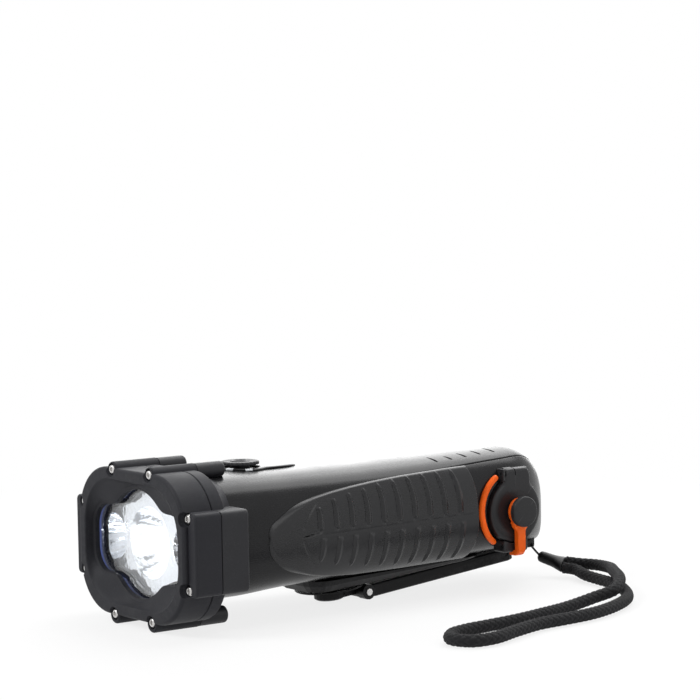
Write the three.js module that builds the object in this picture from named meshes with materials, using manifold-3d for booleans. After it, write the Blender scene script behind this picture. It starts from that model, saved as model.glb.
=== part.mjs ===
// Hand crank flashlight with a wide three-cup head, a folding crank on the underside,
// a hinged port cover on the right flank and a wrist lanyard.
// Units are millimetres. +Z is up and the beam points along -Y.
// The modelling origin is the centre of the bezel's front face; the whole part is moved at the end
// so that its own origin is the middle of the box round it, on the surface that it rests on.

import * as THREE from 'three';
import { mergeVertices } from 'three/addons/utils/BufferGeometryUtils.js';
import Module from 'manifold-3d';

const wasm = await Module();
wasm.setup();

// Clearances

const seat = 0.3;
const overrun = 1;
const weld = 0.0001;

// Head: bezel, flange, rolls and pads

const bezelDepth = 13.7;
const padHalfWidth = 43.8;
const padStand = 5.3;
const outlineHalfWidth = padHalfWidth - padStand;
const outlineHalfHeight = 29;
const outlineCorner = 20.5;
const frontChamfer = 1.5;
const screwSpacing = 27.2;
const rollHeight = 28.3;
const rollRadius = 4.3;
const rollEnd = 34;
const rollChamfer = 0.9;
const padHalfHeight = 15.9;
const padCorner = 3.6;
const padRoot = 20;
const padFront = 2;
const padEnd = 26.5;
const flangeEnd = 19.5;
const flangeTaper = 7.5;

// Window, lens stack and reflector

const windowRadius = 20.2;
const slotMargin = 8;
const slotHalfWidth = outlineHalfWidth - slotMargin;
const slotHalfHeight = 12.7;
const slotCorner = 9;
const windowDepth = 6;
const dishMargin = 4.5;
const dishCorner = 19.5;
const dishRun = 3.5;
const dishLip = 1.3;
const pocketMargin = 1.3;
const pocketHalfWidth = outlineHalfWidth - pocketMargin;
const pocketHalfHeight = 24.6;
const pocketCorner = 18;
const lensThickness = 2.4;
const gasketThickness = 1.2;
const gasketWidth = 1.8;
const reflectorPlate = 1.8;
const cupDepth = 11.6;
const cupWall = 1.1;
const mainCupRadius = 14.2;
const sideCupRadius = 9.4;
const sideCupMargin = 10.8;
const sideCupOffset = pocketHalfWidth - sideCupMargin;
const cupThroat = 3.3;
const boardThickness = 1.6;
const emitterRadius = 2.6;
const emitterDome = 1.7;
const emitterBase = 1.4;

// Screws

const screwHeadRadius = 1.75;
const screwHeadHeight = 1.5;
const screwSink = 0.4;
const screwRecessRadius = 2.4;
const sideScrewInset = 5.9;
const screwShankRadius = 1;
const screwLength = 19;

// Main housing

const totalLength = 205;
const wall = 2.4;
const bodyMargin = 7.5;
const bodyHalfWidth = outlineHalfWidth - bodyMargin;
const bodyTop = 27.6;
const bodyBottom = 23;
const bodySquareness = 3.4;
const tailRound = 27;
const tailPower = 2.5;
const tailSolid = 50;
const cavityEnd = totalLength - tailSolid;

// Grips

const gripThickness = 1.9;
const gripSeat = 0.4;
const gripStart = 45;
const gripTail = 54;
const gripEnd = totalLength - gripTail;
const gripTop = 20.1;
const gripBottom = 18.3;
const ribCount = 10;
const ribStart = 70;
const ribTail = 9;
const ribPitch = (gripEnd - ribStart - ribTail) / ribCount;
const ribWidthShare = 0.58;
const ribCrownShare = 0.36;
const ribWidth = ribPitch * ribWidthShare;
const ribCrown = ribPitch * ribCrownShare;
const ribRise = 0.7;
const ribLean = 1.6;
const ribGap = 1;
const ribMargin = 2.3;
const tailRibCount = 5;
const tailRibReach = 71;
const tailRibStart = totalLength - tailRibReach;
const tailRibRadius = 1.1;
const tailRibPitch = 7.4;
const tailRibLean = 2;

// Button and indicators

const buttonPlace = 52;
const buttonRadius = 7.6;
const buttonHeight = 1.5;
const buttonTravel = 1.2;
const surroundRadius = 10.6;
const surroundTip = 26;
const surroundThickness = 1.4;
const plungerRadius = 4;
const indicatorWidth = 3;
const indicatorDepth = 1.2;
const indicatorHeight = 0.9;
const indicatorTurns = [-58, -14];
const switchHeight = 3.4;

// Port cover on the right flank

const portInset = 34.5;
const portPlace = totalLength - portInset;
const portHeight = 0.4;
const coverRadius = 13.4;
const coverSink = 1;
const coverFace = bodyHalfWidth - coverSink;
const coverThickness = 4.9;
const coverFillet = 0.8;
const studRadius = 6.5;
const studNeckRadius = 4.6;
const studReach = 5.4;
const studHead = 3.2;
const earWidth = 4.2;
const earDrop = 1.1;
const earInner = 13.8;
const earOuter = 17.7;
const earRoot = 10;
const blockNear = 5.3;
const blockFar = 6.2;
const hingePinRadius = 0.9;
const strapWidth = 5.2;
const strapThickness = 1.4;
const strapEyeRadius = 8.2;
const strapFoot = 5;
const sealRadius = 17;
const sealThickness = 3.6;
const socketRadius = 4.6;
const socketBore = 2.9;
const socketLength = 9;
const socketPin = 1;

// Gearbox cover under the body

const hubTail = 110;
const hubPlace = totalLength - hubTail;
const keelLead = 19;
const keelRollGap = 2;
const keelStart = Math.max(hubPlace - keelLead, rollEnd + keelRollGap);
const keelTail = 40;
const keelEnd = totalLength - keelTail;
const keelHalfWidth = 16.5;
const keelTaper = 2.6;
const keelDepthAtHub = 25.3;
const keelSlope = 0.073;
const keelWall = 2.2;
const keelPlug = 4;
const keelFlange = 11;
const keelScrewInset = 4.6;
const keelScrewSpread = 9;
const keelScrewLength = 7.4;
const tailSlant = 1.4;

// Crank, in the frame of its own sloping plane

const hubDepth = 30.74;
const crankTilt = 5.6;
const pinReach = 13.4;
const knuckleRadius = 3.15;
const domeRadius = 14.2;
const domeTop = 4.4;
const domeShoulder = 2.3;
const capRadius = 6.5;
const capDrop = 0.9;
const lugHalfWidth = 4;
const armHalfWidth = 9.3;
const armEndHalfWidth = 8.6;
const armReach = 92.5;
const armBelow = 2.5;
const armAbove = 2.8;
const armBlockAbove = 3.7;
const armBlockLength = 20.5;
const armPinRadius = 1.5;
const armPinProud = 0.4;
const armCorner = 3;
const armEdge = 0.5;
const knobInset = 4.5;
const knobPlace = armReach - knobInset;
const knobHeight = 0.6;
const knobPinRadius = 0.8;
const stemRadius = 1.3;
const stemEye = 2.3;
const gripRadius = 3.3;
const gripLength = 12.4;
const knobLength = 18;
const rivetRadius = 2.2;
const rivetThickness = 1;
const slotHalfGap = 4;

// Gear train, in the crank's frame

const crankTeeth = 32;
const gearRoom = 10.6;
const gearModule = (bodyHalfWidth - gearRoom) / (crankTeeth / 2 + 1);
const pinionTeeth = 8;
const idlerTeeth = 24;
const toothDepthShare = 0.86;
const toothClearShare = 0.3;
const toothTipShare = 0.2;
const toothRootShare = 0.62;
const gearFloor = 16.5;
const gearThickness = 3;
const gearLift = 0.5;
const shaftRadius = 3;
const postRadius = 1.5;
const runClearance = 0.3;
const rotorRadius = 10;
const rotorThickness = 6;
const statorOuter = 17;
const statorInner = 11.2;
const statorThickness = 6;
const bossWall = 2;
const statorPostRadius = 1.6;

// Battery, board and tray

const cellRadius = 5.2;
const cellCount = 3;
const cellPitch = 11.2;
const cellStart = 84;
const cellTail = 27;
const cellLength = cavityEnd - cellStart - cellTail;
const cellHeight = 14;
const terminalRadius = 1.8;
const terminalHeight = 1;
const trayThickness = 1.6;
const circuitStart = 36;
const circuitLength = 42;
const circuitHalfWidth = 14;
const circuitHeight = 19.4;
const postInset = 2.5;

// Lanyard

const lugInset = 13.5;
const lugPlace = totalLength - lugInset;
const lugSide = 12.5;
const lugHeight = 15.4;
const lugDrop = 3.4;
const lugThickness = 2.4;
const lugLength = 6;
const lugHole = 1.1;
const stringRadius = 0.8;
const sleeveStartRadius = 1.7;
const sleeveRadius = 2.3;
const cordRadius = 2.5;
const cordSides = 8;
const cordSpacing = 2.75;
const cordSteps = 46;
const sleeveSides = 12;
const stringSides = 6;

// Curve fineness

const windowSides = 32;
const cornerSteps = 6;
const bluntSteps = 2;
const bodySides = 22;
const fineSides = 24;
const roundSides = 14;
const rollSides = 12;
const smallSides = 8;
const grooveSides = 3;

const gearAngle = THREE.MathUtils.degToRad(crankTilt);
const restHeight = rollHeight + rollRadius;
const part = new THREE.Group();
const crankFrame = new THREE.Group();

// Solid modelling helpers

function outward(geometry) {
  const position = geometry.getAttribute('position');
  const index = geometry.getIndex().array;
  const corner = [new THREE.Vector3(), new THREE.Vector3(), new THREE.Vector3()];
  let volume = 0;
  for (let i = 0; i < index.length; i += 3) {
    corner.forEach((point, k) => point.fromBufferAttribute(position, index[i + k]));
    volume += corner[0].dot(corner[1].cross(corner[2]));
  }
  if (volume < 0) {
    for (let i = 0; i < index.length; i += 3) {
      [index[i], index[i + 1]] = [index[i + 1], index[i]];
    }
  }
  return geometry;
}

function clean(geometry) {
  geometry.deleteAttribute('normal');
  geometry.deleteAttribute('uv');
  const merged = mergeVertices(geometry, weld);
  const index = merged.getIndex().array;
  const kept = [];
  for (let i = 0; i < index.length; i += 3) {
    const [a, b, c] = [index[i], index[i + 1], index[i + 2]];
    if (a !== b && b !== c && c !== a) kept.push(a, b, c);
  }
  merged.setIndex(kept);
  return outward(merged);
}

function solid(geometry) {
  const closed = clean(geometry);
  const mesh = new wasm.Mesh({
    numProp: 3,
    vertProperties: new Float32Array(closed.getAttribute('position').array),
    triVerts: new Uint32Array(closed.getIndex().array),
  });
  return new wasm.Manifold(mesh);
}

function geometryOf(body) {
  const mesh = body.getMesh();
  const geometry = new THREE.BufferGeometry();
  geometry.setAttribute('position', new THREE.BufferAttribute(new Float32Array(mesh.vertProperties), 3));
  geometry.setIndex(new THREE.BufferAttribute(new Uint32Array(mesh.triVerts), 1));
  return geometry;
}

function joined(...bodies) {
  return bodies.reduce((whole, body) => whole.add(body));
}

function cut(body, ...tools) {
  return tools.reduce((left, tool) => left.subtract(tool), body);
}

// A closed skin through rings of points, each ring with the same number of points. A flat or bulging
// end is closed by a fan, and the end of a bent sheet by a strip between its two faces.
function loft(rings, isSheet = false) {
  const count = rings[0].length;
  const points = rings.flat();
  const faces = [];
  for (let r = 0; r < rings.length - 1; r += 1) {
    for (let i = 0; i < count; i += 1) {
      const a = r * count + i;
      const b = r * count + (i + 1) % count;
      faces.push(a, b, b + count, a, b + count, a + count);
    }
  }
  for (const [base, isFirst] of [[0, true], [(rings.length - 1) * count, false]]) {
    const ends = isSheet ? stripCap(base, count) : fanCap(points, base, count);
    ends.forEach(([a, b, c]) => faces.push(...(isFirst ? [a, c, b] : [a, b, c])));
  }
  const geometry = new THREE.BufferGeometry().setFromPoints(points);
  geometry.setIndex(faces);
  return geometry;
}

function fanCap(points, base, count) {
  const centre = new THREE.Vector3();
  for (let i = 0; i < count; i += 1) centre.addScaledVector(points[base + i], 1 / count);
  points.push(centre);
  const hub = points.length - 1;
  return Array.from({ length: count }, (_, i) => [hub, base + i, base + (i + 1) % count]);
}

function stripCap(base, count) {
  const faces = [];
  for (let i = 0; i < count / 2 - 1; i += 1) {
    const [a, b] = [base + i, base + i + 1];
    const [c, d] = [base + count - 2 - i, base + count - 1 - i];
    faces.push([a, b, c], [a, c, d]);
  }
  return faces;
}

function box(low, high) {
  const size = new THREE.Vector3(...high).sub(new THREE.Vector3(...low));
  const geometry = new THREE.BoxGeometry(size.x, size.y, size.z);
  geometry.translate(low[0] + size.x / 2, low[1] + size.y / 2, low[2] + size.z / 2);
  return solid(geometry);
}

// A solid of revolution: profile pairs are [radius, distance along the axis].
function turned(profile, axis, centre, sides = roundSides) {
  const geometry = new THREE.LatheGeometry(profile.map(([r, h]) => new THREE.Vector2(r, h)), sides);
  if (axis === 'x') geometry.rotateZ(-Math.PI / 2);
  if (axis === 'z') geometry.rotateX(Math.PI / 2);
  geometry.translate(...centre);
  return solid(geometry);
}

function rod(radius, from, to, axis, centre, sides = roundSides) {
  return turned([[0, from], [radius, from], [radius, to], [0, to]], axis, centre, sides);
}

function tubeRing(outer, inner, from, to, axis, centre, sides = roundSides) {
  return turned([[inner, from], [outer, from], [outer, to], [inner, to], [inner, from]], axis, centre, sides);
}

// Outlines in the X-Z plane

function roundedPoint(angle, halfWidth, halfHeight, corner) {
  const x = Math.cos(angle);
  const z = Math.sin(angle);
  const cx = halfWidth - corner;
  const cz = halfHeight - corner;
  const toSide = halfWidth / Math.abs(x);
  if (Math.abs(z) * toSide <= cz) return toSide;
  const toTop = halfHeight / Math.abs(z);
  if (Math.abs(x) * toTop <= cx) return toTop;
  const along = Math.abs(x) * cx + Math.abs(z) * cz;
  return along + Math.sqrt(along * along - cx * cx - cz * cz + corner * corner);
}

// A rounded rectangle as corner arcs, so that rings of different sizes match point for point.
function roundedOutline(halfWidth, halfHeight, corner, steps = cornerSteps) {
  const points = [];
  for (const [quarter, [sx, sz]] of [[1, 1], [-1, 1], [-1, -1], [1, -1]].entries()) {
    for (let i = 0; i <= steps; i += 1) {
      const angle = ((quarter + i / steps) * Math.PI) / 2;
      points.push([
        sx * (halfWidth - corner) + corner * Math.cos(angle),
        sz * (halfHeight - corner) + corner * Math.sin(angle),
      ]);
    }
  }
  return points;
}

function roundedRing(y, halfWidth, halfHeight, corner, steps = cornerSteps, lift = 0) {
  return roundedOutline(halfWidth, halfHeight, corner, steps).map(([x, z]) => new THREE.Vector3(x, y, lift + z));
}

// The window joins a round middle and a long slot with a soft blend.
function windowRing(y, grow) {
  const blend = 14;
  const count = windowSides;
  return Array.from({ length: count }, (_, i) => {
    const angle = (i / count) * 2 * Math.PI;
    const slot = roundedPoint(angle, slotHalfWidth + grow, slotHalfHeight + grow, slotCorner + grow);
    const round = windowRadius + grow;
    const reach = (slot ** blend + round ** blend) ** (1 / blend);
    return new THREE.Vector3(reach * Math.cos(angle), y, reach * Math.sin(angle));
  });
}

// The wide mouth of the bezel, from which a cone leads in to the window.
function dishRing(y) {
  return Array.from({ length: windowSides }, (_, i) => {
    const angle = (i / windowSides) * 2 * Math.PI;
    const reach = roundedPoint(angle, outlineHalfWidth - dishMargin, outlineHalfHeight - dishMargin, dishCorner);
    return new THREE.Vector3(reach * Math.cos(angle), y, reach * Math.sin(angle));
  });
}

// Body outline along its length: half width, top and bottom

const bodyShares = [
  { at: 0, width: 1, top: 1, bottom: 1 },
  { at: 0.12, width: 1, top: 1, bottom: 1 },
  { at: 0.25, width: 0.965, top: 0.985, bottom: 0.94 },
  { at: 0.45, width: 0.93, top: 0.96, bottom: 0.895 },
  { at: 0.65, width: 0.905, top: 0.955, bottom: 0.845 },
  { at: 0.85, width: 0.88, top: 0.955, bottom: 0.795 },
  { at: 1, width: 0.86, top: 0.95, bottom: 0.75 },
];

function bodyShare(y) {
  const at = THREE.MathUtils.clamp((y - bezelDepth) / (totalLength - bezelDepth), 0, 1);
  const next = Math.max(1, bodyShares.findIndex((row) => row.at >= at));
  const [low, high] = [bodyShares[next - 1], bodyShares[next]];
  const blend = THREE.MathUtils.smoothstep(at, low.at, high.at) * 0.4
    + ((at - low.at) / (high.at - low.at)) * 0.6;
  const mix = (key) => THREE.MathUtils.lerp(low[key], high[key], blend);
  return { width: mix('width'), top: mix('top'), bottom: mix('bottom') };
}

function bodySection(y, inset = 0) {
  const share = bodyShare(y);
  const into = Math.max(0, y - (totalLength - tailRound)) / (tailRound - inset);
  const close = Math.max(0.02, (1 - Math.min(1, into) ** tailPower)) ** (1 / tailPower);
  const top = (bodyTop * share.top - inset);
  const bottom = -(bodyBottom * share.bottom - inset);
  const middle = (top + bottom) / 2;
  return {
    halfWidth: (bodyHalfWidth * share.width - inset) * close,
    halfHeight: ((top - bottom) / 2) * close,
    middle,
  };
}

function bodyRing(y, inset = 0, count = bodySides) {
  const section = bodySection(y, inset);
  const power = 2 / bodySquareness;
  return Array.from({ length: count }, (_, i) => {
    const angle = ((i + 0.5) / count) * 2 * Math.PI;
    const x = Math.sign(Math.cos(angle)) * Math.abs(Math.cos(angle)) ** power;
    const z = Math.sign(Math.sin(angle)) * Math.abs(Math.sin(angle)) ** power;
    return new THREE.Vector3(section.halfWidth * x, y, section.middle + section.halfHeight * z);
  });
}

// A point on or above the flank: the turn is measured round the section from its widest place.
function flankPoint(y, turn, lift, side = 1) {
  const section = bodySection(y);
  const power = 2 / bodySquareness;
  const x = Math.cos(turn) ** power;
  const z = Math.sign(turn) * Math.abs(Math.sin(turn)) ** power;
  const normal = new THREE.Vector3(
    x ** (bodySquareness - 1) / section.halfWidth,
    0,
    Math.sign(z) * Math.abs(z) ** (bodySquareness - 1) / section.halfHeight,
  ).normalize();
  return new THREE.Vector3(
    side * (section.halfWidth * x + normal.x * lift),
    y,
    section.middle + section.halfHeight * z + normal.z * lift,
  );
}

// The turn at which the flank reaches a height.
function flankTurn(y, height) {
  const section = bodySection(y);
  const share = THREE.MathUtils.clamp((height - section.middle) / section.halfHeight, -0.999, 0.999);
  return Math.sign(share) * Math.asin(Math.abs(share) ** (bodySquareness / 2));
}

function bodySurfaceTop(y) {
  const section = bodySection(y);
  return section.middle + section.halfHeight;
}

function bodySurfaceBottom(y) {
  const section = bodySection(y);
  return section.middle - section.halfHeight;
}

// Adding a piece to the assembly

function add(name, shape, look, group = part) {
  const geometry = shape.isBufferGeometry ? clean(shape) : geometryOf(shape);
  geometry.computeVertexNormals();
  const mesh = new THREE.Mesh(geometry, new THREE.MeshStandardMaterial(look));
  mesh.name = name;
  group.add(mesh);
  return mesh;
}

const looks = {
  shell: { color: 0x17171a, roughness: 0.42, metalness: 0 },
  guard: { color: 0x1d1c20, roughness: 0.6, metalness: 0 },
  rubber: { color: 0x141416, roughness: 0.85, metalness: 0 },
  gloss: { color: 0x0c0c0e, roughness: 0.2, metalness: 0 },
  orange: { color: 0xf0561a, roughness: 0.55, metalness: 0 },
  steel: { color: 0xc4c6c8, roughness: 0.28, metalness: 1 },
  chrome: { color: 0xe6e8ea, roughness: 0.06, metalness: 1 },
  glass: { color: 0xe8f2f6, roughness: 0.03, metalness: 0, transparent: true, opacity: 0.3 },
  board: { color: 0x14532d, roughness: 0.5, metalness: 0 },
  emitter: { color: 0xfff8dc, roughness: 0.2, metalness: 0 },
  nylon: { color: 0xe9e4d6, roughness: 0.5, metalness: 0 },
  copper: { color: 0xb5652b, roughness: 0.35, metalness: 1 },
  magnet: { color: 0x55585c, roughness: 0.4, metalness: 1 },
  cell: { color: 0x2f6f3a, roughness: 0.4, metalness: 0 },
  cord: { color: 0x121214, roughness: 0.9, metalness: 0 },
};

// Screw places round the head: two on each side

const sideScrewReach = padHalfWidth - sideScrewInset;
const screwPlaces = [1, -1].flatMap((side) => [1, -1].flatMap((end) => [
  { name: side > 0 ? 'top' : 'bottom', x: end * screwSpacing / 2, z: side * rollHeight, front: screwSink },
  { name: side > 0 ? 'right' : 'left', x: side * sideScrewReach, z: end * screwSpacing / 2, front: padFront },
]));

function screwHole(place, from, to, radius) {
  return rod(radius, from, to, 'y', [place.x, 0, place.z], smallSides);
}

// One stretch of the guard shape that the bezel and the flange share

function guardStretch(from, to, chamfer) {
  const core = solid(loft([
    roundedRing(from, outlineHalfWidth - chamfer, outlineHalfHeight - chamfer, outlineCorner - chamfer),
    roundedRing(from + chamfer, outlineHalfWidth, outlineHalfHeight, outlineCorner),
    roundedRing(to, outlineHalfWidth, outlineHalfHeight, outlineCorner),
  ].slice(chamfer > 0 ? 0 : 1)));
  return core;
}

function pad(side, from, to, frontCut, backCut) {
  const middle = (padHalfWidth + padRoot) / 2;
  const half = (padHalfWidth - padRoot) / 2;
  const ring = (y, inset) => roundedRing(y, half - inset, padHalfHeight - inset, padCorner - inset, bluntSteps)
    .map((point) => point.setX(side * (middle + point.x)));
  const rings = [ring(from, frontCut), ring(from + frontCut, 0), ring(to - backCut, 0), ring(to, backCut)];
  return solid(loft(rings.filter((_, i) => (i !== 0 || frontCut > 0) && (i !== 3 || backCut > 0))));
}

function roll(place, from, to, frontCut, backCut) {
  const profile = [[0, from], [rollRadius - frontCut, from], [rollRadius, from + frontCut],
    [rollRadius, to - backCut], [rollRadius - backCut, to], [0, to]];
  return turned(profile, 'y', [place.x, 0, place.z], rollSides);
}

function guardLugs(from, to, padFrom, padTo, frontCut, backCut) {
  const rolls = screwPlaces.filter((place) => Math.abs(place.z) === rollHeight)
    .map((place) => roll(place, from, to, frontCut, backCut));
  const pads = [1, -1].map((side) => pad(side, padFrom, padTo, frontCut, backCut));
  return joined(...rolls, ...pads);
}

// Bezel

function makeBezel() {
  const body = joined(
    guardStretch(0, bezelDepth, frontChamfer),
    guardLugs(0, bezelDepth, padFront, bezelDepth, rollChamfer, 0),
  );
  const opening = solid(loft([
    dishRing(-overrun), dishRing(seat), windowRing(dishRun, dishLip), windowRing(dishRun + seat, 0),
    windowRing(windowDepth + overrun, 0),
  ]));
  const pocket = solid(loft([
    roundedRing(windowDepth, pocketHalfWidth, pocketHalfHeight, pocketCorner),
    roundedRing(bezelDepth + overrun, pocketHalfWidth, pocketHalfHeight, pocketCorner),
  ]));
  const holes = screwPlaces.flatMap((place) => [
    screwHole(place, -overrun, place.front + screwHeadHeight + seat, screwRecessRadius),
    screwHole(place, 0, bezelDepth + overrun, screwShankRadius + seat),
  ]);
  return cut(body, opening, pocket, ...holes);
}

function makeBezelScrew(place) {
  const edge = screwHeadHeight * 0.35;
  const { front } = place;
  return turned([
    [0, front], [screwHeadRadius * 0.7, front], [screwHeadRadius, front + edge],
    [screwHeadRadius, front + screwHeadHeight], [screwShankRadius, front + screwHeadHeight],
    [screwShankRadius, screwLength], [0, screwLength],
  ], 'y', [place.x, 0, place.z], smallSides);
}

// Lens, gasket, reflector and emitters, stacked from the window backwards

const lensFront = windowDepth + seat;
const gasketFront = lensFront + lensThickness + seat;
const reflectorFront = gasketFront + gasketThickness + seat;
const cupBack = reflectorFront + cupDepth;
const boardFront = cupBack + seat;
const lensGrow = 1.8;

function makeLens() {
  return solid(loft([windowRing(lensFront, lensGrow), windowRing(lensFront + lensThickness, lensGrow)]));
}

function makeGasket() {
  const back = gasketFront + gasketThickness;
  const outer = solid(loft([windowRing(gasketFront, lensGrow), windowRing(back, lensGrow)]));
  const inner = solid(loft([
    windowRing(gasketFront - overrun, lensGrow - gasketWidth),
    windowRing(back + overrun, lensGrow - gasketWidth),
  ]));
  return cut(outer, inner);
}

const cups = [
  { name: 'left', x: -sideCupOffset, radius: sideCupRadius },
  { name: 'centre', x: 0, radius: mainCupRadius },
  { name: 'right', x: sideCupOffset, radius: sideCupRadius },
];

// A bowl that opens like a parabola, run on past its throat and its rim where it is used to cut.
function bowl(cup, offset, runOn) {
  const steps = 3;
  const throat = cupThroat + offset;
  const rim = cup.radius + offset;
  const profile = [[0, cupBack + runOn]];
  if (runOn > 0) profile.push([throat, cupBack + runOn]);
  for (let i = 0; i <= steps; i += 1) {
    const share = i / steps;
    const radius = THREE.MathUtils.lerp(throat, rim, Math.sqrt(share));
    profile.push([radius, THREE.MathUtils.lerp(cupBack, reflectorFront, share)]);
  }
  if (runOn > 0) profile.push([rim, reflectorFront - runOn]);
  profile.push([0, reflectorFront - runOn]);
  return turned(profile, 'y', [cup.x, 0, 0], roundSides);
}

function makeReflector() {
  const plate = solid(loft([reflectorFront, reflectorFront + reflectorPlate].map((y) => roundedRing(
    y, pocketHalfWidth - seat, pocketHalfHeight - seat, pocketCorner - seat))));
  const outsides = cups.map((cup) => bowl(cup, cupWall, 0));
  const insides = cups.map((cup) => bowl(cup, 0, overrun));
  return cut(joined(plate, ...outsides), ...insides);
}

const boardHalfWidth = sideCupOffset + cupThroat + boardThickness;

function makeEmitterBoard() {
  const halfHeight = mainCupRadius * 0.7;
  return solid(loft([boardFront, boardFront + boardThickness].map((y) => roundedRing(
    y, boardHalfWidth, halfHeight, halfHeight * 0.8, 2 * bluntSteps))));
}

function makeEmitter(cup) {
  const back = boardFront - seat;
  const front = back - emitterBase;
  return turned([
    [0, front - emitterDome], [emitterDome * 0.75, front - emitterDome * 0.7], [emitterDome, front],
    [emitterRadius, front], [emitterRadius, back], [0, back],
  ], 'y', [cup.x, 0, 0], smallSides);
}

// Main housing

function bodyStations() {
  const low = bezelDepth + seat;
  const straightEnd = totalLength - tailRound;
  const steps = 6;
  const straight = Array.from({ length: steps + 1 }, (_, i) => THREE.MathUtils.lerp(low, straightEnd, i / steps));
  const roundShares = [0.4, 0.68, 0.87, 0.97, 1];
  return [...straight, ...roundShares.map((share) => straightEnd + share * tailRound)];
}

function flangeCone() {
  const from = flangeEnd;
  const to = flangeEnd + flangeTaper;
  const narrow = bodySection(to);
  const inset = seat;
  return solid(loft([
    roundedRing(from, outlineHalfWidth, outlineHalfHeight, outlineCorner),
    roundedRing(to, narrow.halfWidth - inset, narrow.halfHeight - inset, narrow.halfHeight * 0.5,
      cornerSteps, narrow.middle),
  ]));
}

// The leaf's upper and lower edges: place along its length, height as a share of its full height.
const leafTopShares = [
  [0, 0.06], [0.03, 0.34], [0.08, 0.52], [0.24, 0.73], [0.42, 0.93], [0.6, 1], [0.82, 0.97], [0.96, 0.9], [1, 0.6],
];
const leafBottomShares = [
  [0, 0.02], [0.02, 0.36], [0.045, 0.56], [0.11, 0.77], [0.25, 0.9], [0.45, 0.98], [0.68, 1], [0.95, 0.98], [1, 0.88],
];

function alongShares(table, at) {
  const next = Math.max(1, table.findIndex(([place]) => place >= at));
  const [low, high] = [table[next - 1], table[next]];
  return THREE.MathUtils.lerp(low[1], high[1], (at - low[0]) / (high[0] - low[0]));
}

function leafHeights(share) {
  return [-gripBottom * alongShares(leafBottomShares, share), gripTop * alongShares(leafTopShares, share)];
}

function leafSolid(side) {
  const columns = 12;
  const rows = 6;
  const rings = [];
  for (let i = 0; i <= columns; i += 1) {
    const share = (1 - Math.cos((Math.PI * i) / columns)) / 2;
    const y = THREE.MathUtils.lerp(gripStart, gripEnd, share);
    const [low, high] = leafHeights(share).map((height) => flankTurn(y, height));
    const inner = [];
    const outer = [];
    for (let j = 0; j <= rows; j += 1) {
      const turn = THREE.MathUtils.lerp(low, high, j / rows);
      const edge = j === 0 || j === rows ? 0.45 : 1;
      inner.push(flankPoint(y, turn, gripSeat, side));
      outer.unshift(flankPoint(y, turn, gripSeat + gripThickness * edge, side));
    }
    rings.push([...inner, ...outer]);
  }
  return solid(loft(rings, true));
}

// A groove with pointed ends between two points on a surface.
function groove(from, to, radius) {
  const along = to.clone().sub(from).normalize();
  const inward = new THREE.Vector3(from.x + to.x, 0, 0).normalize();
  const aside = new THREE.Vector3().crossVectors(along, inward).normalize();
  const sink = new THREE.Vector3().crossVectors(aside, along).normalize();
  const stations = [{ share: 0, swell: 0.3 }, { share: 0.5, swell: 1 }, { share: 1, swell: 0.3 }];
  return solid(loft(stations.map(({ share, swell }) => Array.from({ length: grooveSides }, (_, i) => {
    const angle = ((i + 0.25 * grooveSides) / grooveSides) * 2 * Math.PI;
    return from.clone().lerp(to, share)
      .addScaledVector(aside, swell * radius * Math.cos(angle))
      .addScaledVector(sink, -swell * radius * Math.sin(angle));
  }))));
}

// A raised bar that follows the grip's face between two heights. Its outer end leans towards the head.
function rib(y, inner, outer, side) {
  const face = gripSeat + gripThickness;
  const stations = [0, 0.5, 1];
  const outline = [
    [-ribWidth / 2, -ribRise], [-ribCrown / 2, ribRise], [ribCrown / 2, ribRise], [ribWidth / 2, -ribRise],
  ];
  return solid(loft(stations.map((share) => {
    const height = THREE.MathUtils.lerp(inner, outer, share);
    const middle = y + THREE.MathUtils.lerp(ribLean, -ribLean, share);
    return outline.map(([along, lift]) => flankPoint(
      middle + along, flankTurn(middle + along, height), face + lift, side));
  })));
}

function makeGrip(side) {
  const ribs = [];
  for (let i = 0; i < ribCount; i += 1) {
    const y = ribStart + i * ribPitch;
    const [low, high] = leafHeights((y - gripStart) / (gripEnd - gripStart));
    ribs.push(rib(y, ribGap, high - ribMargin, side), rib(y, -ribGap, low + ribMargin, side));
  }
  return joined(leafSolid(side), ...ribs);
}

const portCentre = [0, portPlace, portHeight];
const earNear = portPlace - blockNear - seat - earWidth;

// The upper ear stands beside the cover's own block. The lower one runs on under the cover.
function ear(side) {
  const far = side > 0 ? earNear + earWidth : portPlace + blockFar;
  const inner = portHeight + side * (earInner - earDrop);
  const outer = portHeight + side * earOuter;
  return box(
    [coverFace - earRoot, earNear, Math.min(inner, outer)],
    [coverFace, far, Math.max(inner, outer)]);
}

const pinHeight = (earInner + earOuter) / 2;
const blockHalf = (earOuter - earInner) / 2;
const pinDepth = coverFace - blockHalf;
const blockSwing = blockHalf * Math.SQRT2;

function lanyardLug() {
  const block = box(
    [lugSide - lugThickness / 2, lugPlace - lugLength / 2, -lugHeight - lugDrop],
    [lugSide + lugThickness / 2, lugPlace + lugLength / 2, -lugHeight + lugDrop * 0.6],
  );
  const hole = rod(lugHole, lugSide - lugThickness, lugSide + lugThickness, 'x',
    [0, lugPlace, -lugHeight - lugDrop / 2], smallSides);
  return cut(block, hole);
}

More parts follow.
